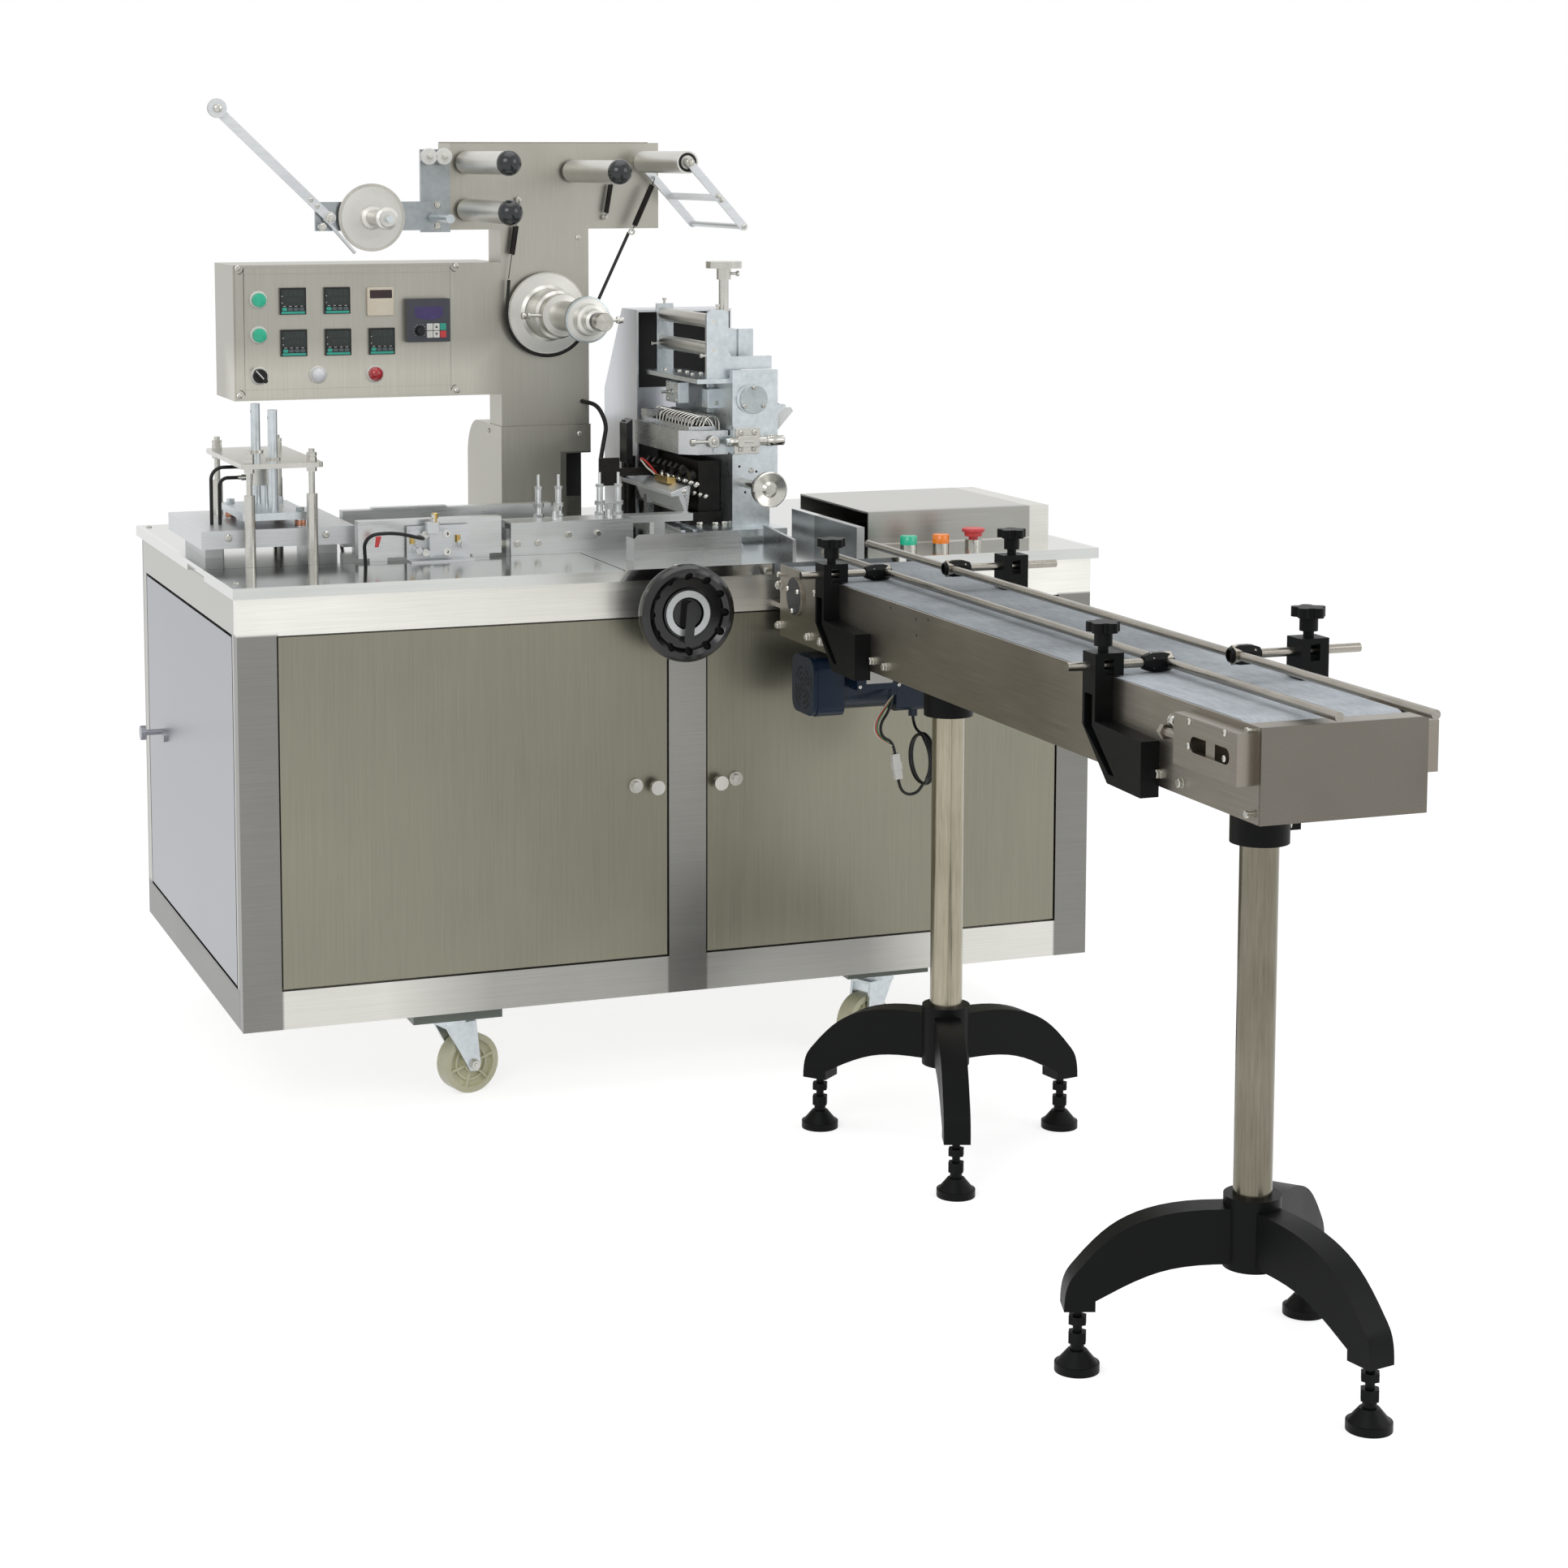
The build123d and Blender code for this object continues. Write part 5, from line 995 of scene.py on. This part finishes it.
# %% Disc cover and hinge plates
disc = [(0, 0), (0, 25.4), (2.6, 25.4), (3.2, 24.8), (3.2, 0)]
turned_piece("disc_cover", (993, 336.3, 1118), FRONT, disc, faced_zinc, segments=56)
spots = [(993 + 21 * sin(radians(t)), 333.2, 1118 + 21 * cos(radians(t))) for t in (0, 122, 238)]
screw_group("disc_screws", spots, FRONT, radius=4.4, height=4)
plates = [(oblong(981, 1060, 46, 17, 1.5), 335.2, 331.5), (oblong(979, 1031, 46, 17, 1.5), 335.2, 331.5),
          (oblong(980, 1045, 40, 20, 4), 335.2, 322)]
cut_piece("hinge_plates", "xz", plates, turned_steel, bevel=1.0)
spots = [(968, 331.6, 1060), (993, 331.6, 1060), (967, 331.6, 1031), (992, 331.6, 1031)]
screw_group("hinge_screws", spots, FRONT, radius=4.6, height=3.6)

# %% Hinge rod, its eyes and small screws
rod = [(0, 0), (0, 8.6), (8, 8.6), (9, 7.8), (26, 7.8), (27, 9.4), (44, 9.4), (45, 7.8), (70, 7.8), (71, 9.6),
       (83, 9.6), (84, 8.8), (103, 8.8), (104, 7.8), (104, 0)]
turned_piece("hinge_rod", (944, 331, 1045), RIGHT, rod, turned_steel, segments=32, bevel=0.3)
eyes = bmesh.new()
turn_on_lathe(eyes, (923, 353, 1044), FRONT, [(0, 0), (0, 10.5), (8, 10.5), (9, 9.5), (9, 0)], 32)
cap_screw(eyes, (923, 344, 1044), FRONT, radius=5, height=4)
stem = [(0, 0), (0, 3), (26, 3), (26, 6.4), (33, 6.4), (34, 5.4), (34, 0)]
turn_on_lathe(eyes, (914, 349, 1044), LEFT, stem, 24)
cap_screw(eyes, (1024, 326, 1052), (0, -0.6, 0.8), radius=4, height=3)
place_piece("swing_eyes", eyes, turned_steel, bevel=0.2)
small = bmesh.new()
cap_screw(small, (990, 340.1, 992), FRONT, radius=4.6, height=3.4)
pin = [(0, 0), (0, 2.2), (7, 2.2), (7, 3.8), (11, 3.8), (11, 0)]
for spot, way in (((932, 636, 1272.9), UP), ((916.1, 636, 1201), LEFT), ((938, 369, 1272.9), UP),
                  ((916.1, 369, 1194), LEFT)):
    turn_on_lathe(small, spot, way, pin, 16)
place_piece("front_plate_screws", small, turned_steel, bevel=0.1)
milky = finish("polyethylene_sheet_milky", "dcdedd", "eff0ee", 0.0, 0.3, 4, 60, 0.0, ior=1.51)
lever = [(1008, 1046), (1040, 1056), (1074, 1094), (1070, 1101), (1056, 1101)]
cut_piece("swing_lever", "xz", [(lever, 351.6, 357.4)], milky, bevel=0.8)
# Thin dark discs paint the shade inside the drilled holes.
spots = [(x, 340.02, z) for x, z in ((1000, 990), (979, 954), (1000, 960), (968, 1000))]
turned_piece("drilled_holes", spots, FRONT, plain(2.2, 0.12), matt_black_and_painted_shade, segments=16)

# %% Sealing jaw with its brass terminal
bar = [(847, 956), (876, 967), (880, 963), (880, 951), (868, 950), (848, 949)]
flare = [(861, 951), (872, 951), (879, 918), (874, 917)]
cut_piece("sealing_jaw", "xz", [(bar, 358, 632), (flare, 359, 596)], anodised, bevel=0.8)
insert = [(0, 0), (0, 4.6), (0.8, 4.6), (1.2, 4.0), (1.2, 0)]
turned_piece("jaw_insert", (871, 358.2, 957), FRONT, insert, turned_steel, segments=24)
cut_piece("brass_terminal", "xz", [(oblong(870, 971, 16, 12, 1), 420, 490)], brass, bevel=0.6)
screw_group("terminal_screws", [(870, 436, 977), (870, 470, 977)], UP, radius=3.4, height=4)
wire_colours = {"red": ("a81f1c", "c9332c"), "white": ("c8c4b4", "dcd8c8"), "green": ("1d6a3a", "2a8249")}
silicone = {name: finish(f"silicone_lead_{name}", *wire_colours[name], 0.0, 0.45, 2, 20, 0.0, ior=1.43)
            for name in ("red", "white")}
red_wire = [(868, 585, 995), (865, 560, 997), (866, 535, 990), (868, 515, 982), (869, 495, 974)]
bent_tube("heater_wire_red", red_wire, 2.0, silicone["red"])
white_wire = [(868, 585, 993), (861, 556, 993), (861, 530, 984), (866, 510, 977), (868, 492, 971)]
bent_tube("heater_wire_white", white_wire, 1.6, silicone["white"])

# %% Folding gear screws, rollers and slides
gear = bmesh.new()
for number in range(8):
    y = 560 - 30 * number
    cap_screw(gear, (893, y, 972 - 0.5 * number), (-0.7, 0, 0.7), radius=6, height=6)
    cap_screw(gear, (905, y - 14, 949), (-0.7, 0, 0.7), radius=4.6, height=5)
for x, y in ((888, 430), (884, 500), (905, 372), (930, 360), (950, 366)):
    hexagon_bolt(gear, (x, y, 894), UP, across=10, height=6)
place_piece("folding_gear_screws", gear, turned_steel, bevel=0.1)
spots = [(898, 380 + 46 * number, 985) for number in range(4)]
turned_piece("folding_gear_rollers", spots, (-1, 0, -0.2), plain(9, 10), black_oxide, segments=24, bevel=0.4)
slides = [([(x0 - 4, y0), (x0 + 4, y0), (x1 + 4, y1), (x1 - 4, y1)], 882, 890)
          for x0, y0, x1, y1 in ((884, 596, 868, 352), (904, 596, 890, 352))]
cut_piece("folding_slides", "xy", slides, zinc, bevel=0.8)
print("head dressed")

# %% [markdown]
# ## Table fittings
# The press block carries two socket screws, and the plate over it stands on bronze feet. Screws,
# stud nuts and small fittings sit on the guides, and a dark sheet paints the shade inside the column's notch.

# %% Press block, guides and table screws
screw_group("press_block_screws", [(52, 290, 918), (215, 290, 917)], FRONT, radius=6, height=4)
foot = [(0, 0), (0, 8.4), (1.5, 9.3), (11, 9.3), (13, 8.0), (13, 6.2)]
spots = [(x, y, 930.6) for x in (92, 176) for y in (306, 470)]
turned_piece("press_feet_bronze", spots, UP, foot, copper, "press_plate")
bolts = bmesh.new()
for x, z in ((534, 893), (570, 893), (624, 905), (676, 905)):
    hexagon_bolt(bolts, (x, 248, z), FRONT, across=10, height=5)
for x, z in ((606, 945), (703, 944)):
    cap_screw(bolts, (x, 268, z), FRONT, radius=5, height=4)
place_piece("guide_bolts", bolts, turned_steel, bevel=0.1)
spots = [(x, y, 874) for x, y in ((18, 60), (18, 850), (1470, 850), (740, 30))]
screw_group("table_corner_screws", spots, UP, radius=5, height=2.2)
# A dark sheet paints the shade inside the column's notch.
cut_piece("notch_lining", "xz", [(oblong(804, 948, 46, 86), 817, 815)], matt_black_and_painted_shade)
print("table dressed")

# %% Pusher fittings
valve = bmesh.new()
needle = [(0, 0), (0, 5.5), (9, 5.5), (9, 7.5), (15, 7.5), (15, 3), (21, 3), (21, 5.5), (29, 5.5), (30, 4.5),
          (30, 0)]
turn_on_lathe(valve, (382, 213, 925), UP, needle, 20)
for x in (347, 425):
    turn_on_lathe(valve, (x, 229, 903), UP, plain(5, 12), 6)
place_piece("needle_valve", valve, brass, bevel=0.2)
ear = [(0, 0), (0, 6), (5, 6), (5, 3.6), (4, 3.4), (4, 0)]
spots = [(x, 217, z) for x in (366, 402) for z in (889, 919)]
turned_piece("cylinder_ears", spots, FRONT, ear, nylon_white, segments=20, bevel=0.3)
lever = [(277, 903), (283, 903), (288, 921), (279, 921)]
cut_piece("ball_valve_lever", "xz", [(lever, 205, 201)], red_plastic, bevel=0.8)

# %% Handwheel ring
ring = [(0, 26.6), (0.4, 26.8), (0.4, 37.6), (0, 37.8), (-0.4, 37.8), (-0.4, 26.6), (0, 26.6)]
satin = finish("aluminium_satin_ring", "b9bdbe", "d0d3d3", 0.9, 0.34, 3, 60, 0.0)
turned_piece("handwheel_ring", (727, -69.0, 808), FRONT, ring, satin, "handwheel", 56)
print("handwheel dressed")

# %% [markdown]
# ## Conveyor
# The side plates carry hexagon bolts, a drive bearing disc, tapped holes and the belt tensioner.
# Round knuckles join the rails to their cross rods.

# %% Side bolts
bolts = bmesh.new()
near_bolts = ((-20, 840, 13), (-17, 773, 12), (-146, 772, 12), (-202, 772, 13), (-236, 773, 12),
              (-409, 773, 11), (-460, 772, 11), (-1332, 772, 11), (-1390, 772, 11), (-178, 847, 11))
for y, z, across in near_bolts:
    hexagon_bolt(bolts, (906, y, z), LEFT, across=across, height=5.5, stud=2 if across > 11 else 0)
for y, z in ((-1559, 867), (-1561, 767), (-29, 859)):
    turn_on_lathe(bolts, (906, y, z), LEFT, [(0, 0), (0, 3.2), (6, 3.2), (6, 4.6), (9, 4.6), (9, 0)], 18)
far_bolts = ((-409, 773), (-460, 772), (-1332, 772), (-1390, 772), (-146, 772))
for y, z in far_bolts:
    hexagon_bolt(bolts, (1135, y, z), RIGHT, across=11, height=5.5)
place_piece("conveyor_bolts", bolts, turned_steel, bevel=0.12)
print("conveyor bolts:", len(near_bolts) + len(far_bolts))

# %% Bearing disc, tapped holes and tensioner
passivated = finish("steel_grey_passivated", "2f3133", "45474a", 0.6, 0.45, 4, 40, 0.02)
disc = [(0, 0), (0, 31), (2.6, 31), (3.4, 30.2), (3.4, 0)]
turned_piece("bearing_disc", (906, -85, 830), LEFT, disc, passivated, segments=56)
spots = [(902.6, -85 + 24 * sin(radians(t)), 830 + 24 * cos(radians(t))) for t in (65, 175, 295)]
screw_group("bearing_screws", spots, LEFT, radius=4.4, height=4, bevel=0.1)
# Thin dark discs paint the shade inside the tapped holes.
spots = [(906.05, y, z) for y, z in ((-572, 861), (-616, 866), (-574, 837), (-477, 865))]
turned_piece("tapped_holes", spots, LEFT, plain(2.2, 0.12), matt_black_and_painted_shade, segments=16)
tensioner = bmesh.new()
for y, z in ((-1450, 861), (-1537, 862), (-1449, 830.5), (-1537, 831)):
    cap_screw(tensioner, (882, y, z), LEFT, radius=4.2, height=2.4)
hexagon_bolt(tensioner, (894, -1386, 851), FRONT, across=13, height=8)
turn_on_lathe(tensioner, (894, -1386, 851), FRONT, plain(4, 62), 20)
turn_on_lathe(tensioner, (906, -1386, 851), LEFT, [(0, 0), (0, 9), (3, 9), (3, 6), (12, 6), (12, 0)], 24)
place_piece("tensioner_screws", tensioner, turned_steel, bevel=0.2)

# %% Rail knuckles
barrel = [(0, 7), (0, 9.4), (6, 11.6), (14, 13.8), (30, 13.8), (38, 11.6), (44, 9.4), (44, 7)]
knuckles = {"near_rail": (957, 888, (-255, -1185)), "far_rail": (1025, 910, (-405, -1290))}
for body, (x, z, places) in knuckles.items():
    spots = [(x, y, z) for y in places]
    turned_piece(f"knuckles_{body}", spots, RIGHT, barrel, nylon, body, 8, 0.8, radians(22.5))
print("rails with knuckles:", len(knuckles))

# %% Stand collar bolts
clamps = bmesh.new()
for y in (-440, -1385):
    hexagon_bolt(clamps, (1048, y - 14, 714), (0.9, -0.45, 0), across=13, height=7)
    hexagon_bolt(clamps, (1020, y - 30, 205), FRONT, across=10, height=6)
place_piece("collar_bolts", clamps, turned_steel, bevel=0.2)

# %% [markdown]
# ## Motor
# The fan cover has arc slots, the terminal box a blank label, and the coloured wires show
# where the lead leaves its sleeve.

# %% Fan grille
def arc_slot(shape, y, z, radius, width, start, end, x, depth):
    """A curved slot drawn as a thin dark inlay, painted shade inside the slot, on a face that looks to the
    left.
    """
    steps = 14
    turns = [radians(start + (end - start) * step / steps) for step in range(steps + 1)]
    outer, inner = radius + width / 2, radius - width / 2
    outline = [(y + outer * cos(t), z + outer * sin(t)) for t in turns]
    outline += [(y + inner * cos(t), z + inner * sin(t)) for t in reversed(turns)]
    cut_sheet(shape, outline, "yz", x, x - depth)


# The slots and the middle hole are thin dark inlays, painted shade where the fan cover is open.
grille = bmesh.new()
for radius, width in ((11, 4), (20, 4.4), (29, 4.8)):
    for start in (20, 110, 200, 290):
        arc_slot(grille, -110, 688, radius, width, start, start + 66, 910.02, 0.12)
for step in range(3):
    arc_slot(grille, -110, 688, 38 + 0.01 * step, 3.6, 150 + 70 * step, 190 + 70 * step, 910.02, 0.12)
turn_on_lathe(grille, (910.02, -110, 688), LEFT, plain(3.4, 0.12), 20)
place_piece("fan_grille", grille, matt_black_and_painted_shade, bevel=0)

# %% Blank label, cover screws and core wires
cut_piece("motor_label", "xz", [(oblong(1014, 706, 46, 20, 1), -184, -184.4)], nylon_white, bevel=0.1)
spots = [(x, -184, z) for x in (980, 1048) for z in (692, 720)]
screw_group("terminal_screws_cover", spots, FRONT, radius=3, height=2.2, bevel=0.1)
for name, shift in (("red", 7), ("white", 10), ("green", 4)):
    wire = [(1043, -172, 673), (1034 - shift, -173, 652), (1016 - shift, -176, 628),
            (1022 - shift, -176, 604), (1042, -173, 590)]
    pvc = finish(f"pvc_lead_{name}", *wire_colours[name], 0.0, 0.42, 2, 20, 0.0, ior=1.54)
    bent_tube(f"core_wire_{name}", wire, 1.1, pvc)
print("motor dressed")

# %% [markdown]
# ## Castors
# Each wheel turns on an axle with a nut at both ends. Its nylon disc has six ribs and a hub ring
# on either side.

# %% Axle nuts and wheel ribs
TRAIL, AXLE = 34, 50  # the axle's distance from its swivel and its height
hub = [(0, 26), (4, 26), (4.5, 26.5), (4.5, 29.5), (4, 30), (0, 30)]
castors = ((368, 100, 15), (1140, 120, 205), (368, 770, 40), (1140, 770, 160))
for number, (x, y, turn) in enumerate(castors, start=1):
    c, d = cos(radians(turn)), sin(radians(turn))
    shape = bmesh.new()
    for side in (-1, 1):
        out = 23 * side
        spot = (x + TRAIL * c - out * d, y + TRAIL * d + out * c, AXLE)
        hexagon_bolt(shape, spot, (-d * side, c * side, 0), across=15, height=6, stud=1.5)
    place_piece(f"axle_nuts_{number}", shape, turned_steel, f"castor_fork_{number}", bevel=0.2)
    ribs = bmesh.new()
    for side in (-1, 1):
        for step in range(6):
            t = radians(60 * step + 15)
            ahead, aside = (cos(t), sin(t)), (-sin(t) * 2.2, cos(t) * 2.2)
            outline = [(ahead[0] * r + aside[0] * s, ahead[1] * r + aside[1] * s)
                       for r, s in ((14, -1), (41, -1), (41, 1), (14, 1))]
            cut_sheet(ribs, outline, "xz", 7.5 * side, 13.5 * side)
        turn_on_lathe(ribs, (0, 7.5 * side, 0), (0, side, 0), hub, 40)
    turned_to = Matrix.Rotation(radians(turn), 4, "Z") @ Matrix.Translation((TRAIL, 0, 0))
    bmesh.ops.transform(ribs, matrix=Matrix.Translation((x, y, AXLE)) @ turned_to, verts=ribs.verts)
    place_piece(f"wheel_ribs_{number}", ribs, nylon_cream, f"castor_wheel_{number}", bevel=0.4)
print("castors dressed")

# %% [markdown]
# ## Tear-tape unit
# Two small grooved wheels lead the tape, nuts hold the arm's pivot and its end wheel, and the
# tape reel's side was faced on a lathe like the film reel's disc.

# %% Tape wheels and bracket nuts
groove = [(0, 0), (0, 14.6), (1.6, 15), (3, 13), (6, 13), (7.6, 15), (9, 14.4), (9, 0)]
spots = [(518, 746.2, 1541), (546, 746.2, 1541)]
turned_piece("tape_wheels", spots, FRONT, groove, nylon_white, segments=40)
nuts = bmesh.new()
for x in (518, 546):
    hexagon_bolt(nuts, (x, 737.2, 1541), FRONT, across=8, height=4, stud=3)
for z in (1415, 1453):
    hexagon_bolt(nuts, (537, 760, z), FRONT, across=11, height=5, stud=2)
hexagon_bolt(nuts, (318, 730, 1416), FRONT, across=12, height=6, stud=2)
place_piece("tape_bracket_nuts", nuts, turned_steel, bevel=0.1)

# %% Tape arm nuts and reel face
PIVOT_X, PIVOT_Z, ARM_LEAN = 332, 1432, radians(136)
nuts = bmesh.new()
hexagon_bolt(nuts, (PIVOT_X, 732, PIVOT_Z), FRONT, across=14, height=6, stud=3)
tip_x, tip_z = PIVOT_X + 279 * cos(ARM_LEAN), PIVOT_Z + 279 * sin(ARM_LEAN)
hexagon_bolt(nuts, (tip_x, 724, tip_z), FRONT, across=13, height=5)
rim = [(-1.5, 16.4), (-1.5, 17.2), (1.5, 17.2), (1.5, 16.4), (-1.5, 16.4)]
turn_on_lathe(nuts, (tip_x, 731, tip_z), FRONT, rim, 40)
for reach in (30, 46):
    spot = (PIVOT_X + reach * cos(ARM_LEAN), 738, PIVOT_Z + reach * sin(ARM_LEAN))
    cap_screw(nuts, spot, FRONT, radius=4, height=2.6)
place_piece("tape_arm_nuts", nuts, turned_steel, "tape_arm", bevel=0.1)
side = [(-0.2, 22.6), (-0.2, 60.7), (0.2, 60.5), (0.2, 22.6), (-0.2, 22.6)]
turned_piece("tape_reel_face", (410, 736.9, 1432), FRONT, side, faced_aluminium, "tape_reel", 72)
print("tape unit dressed")
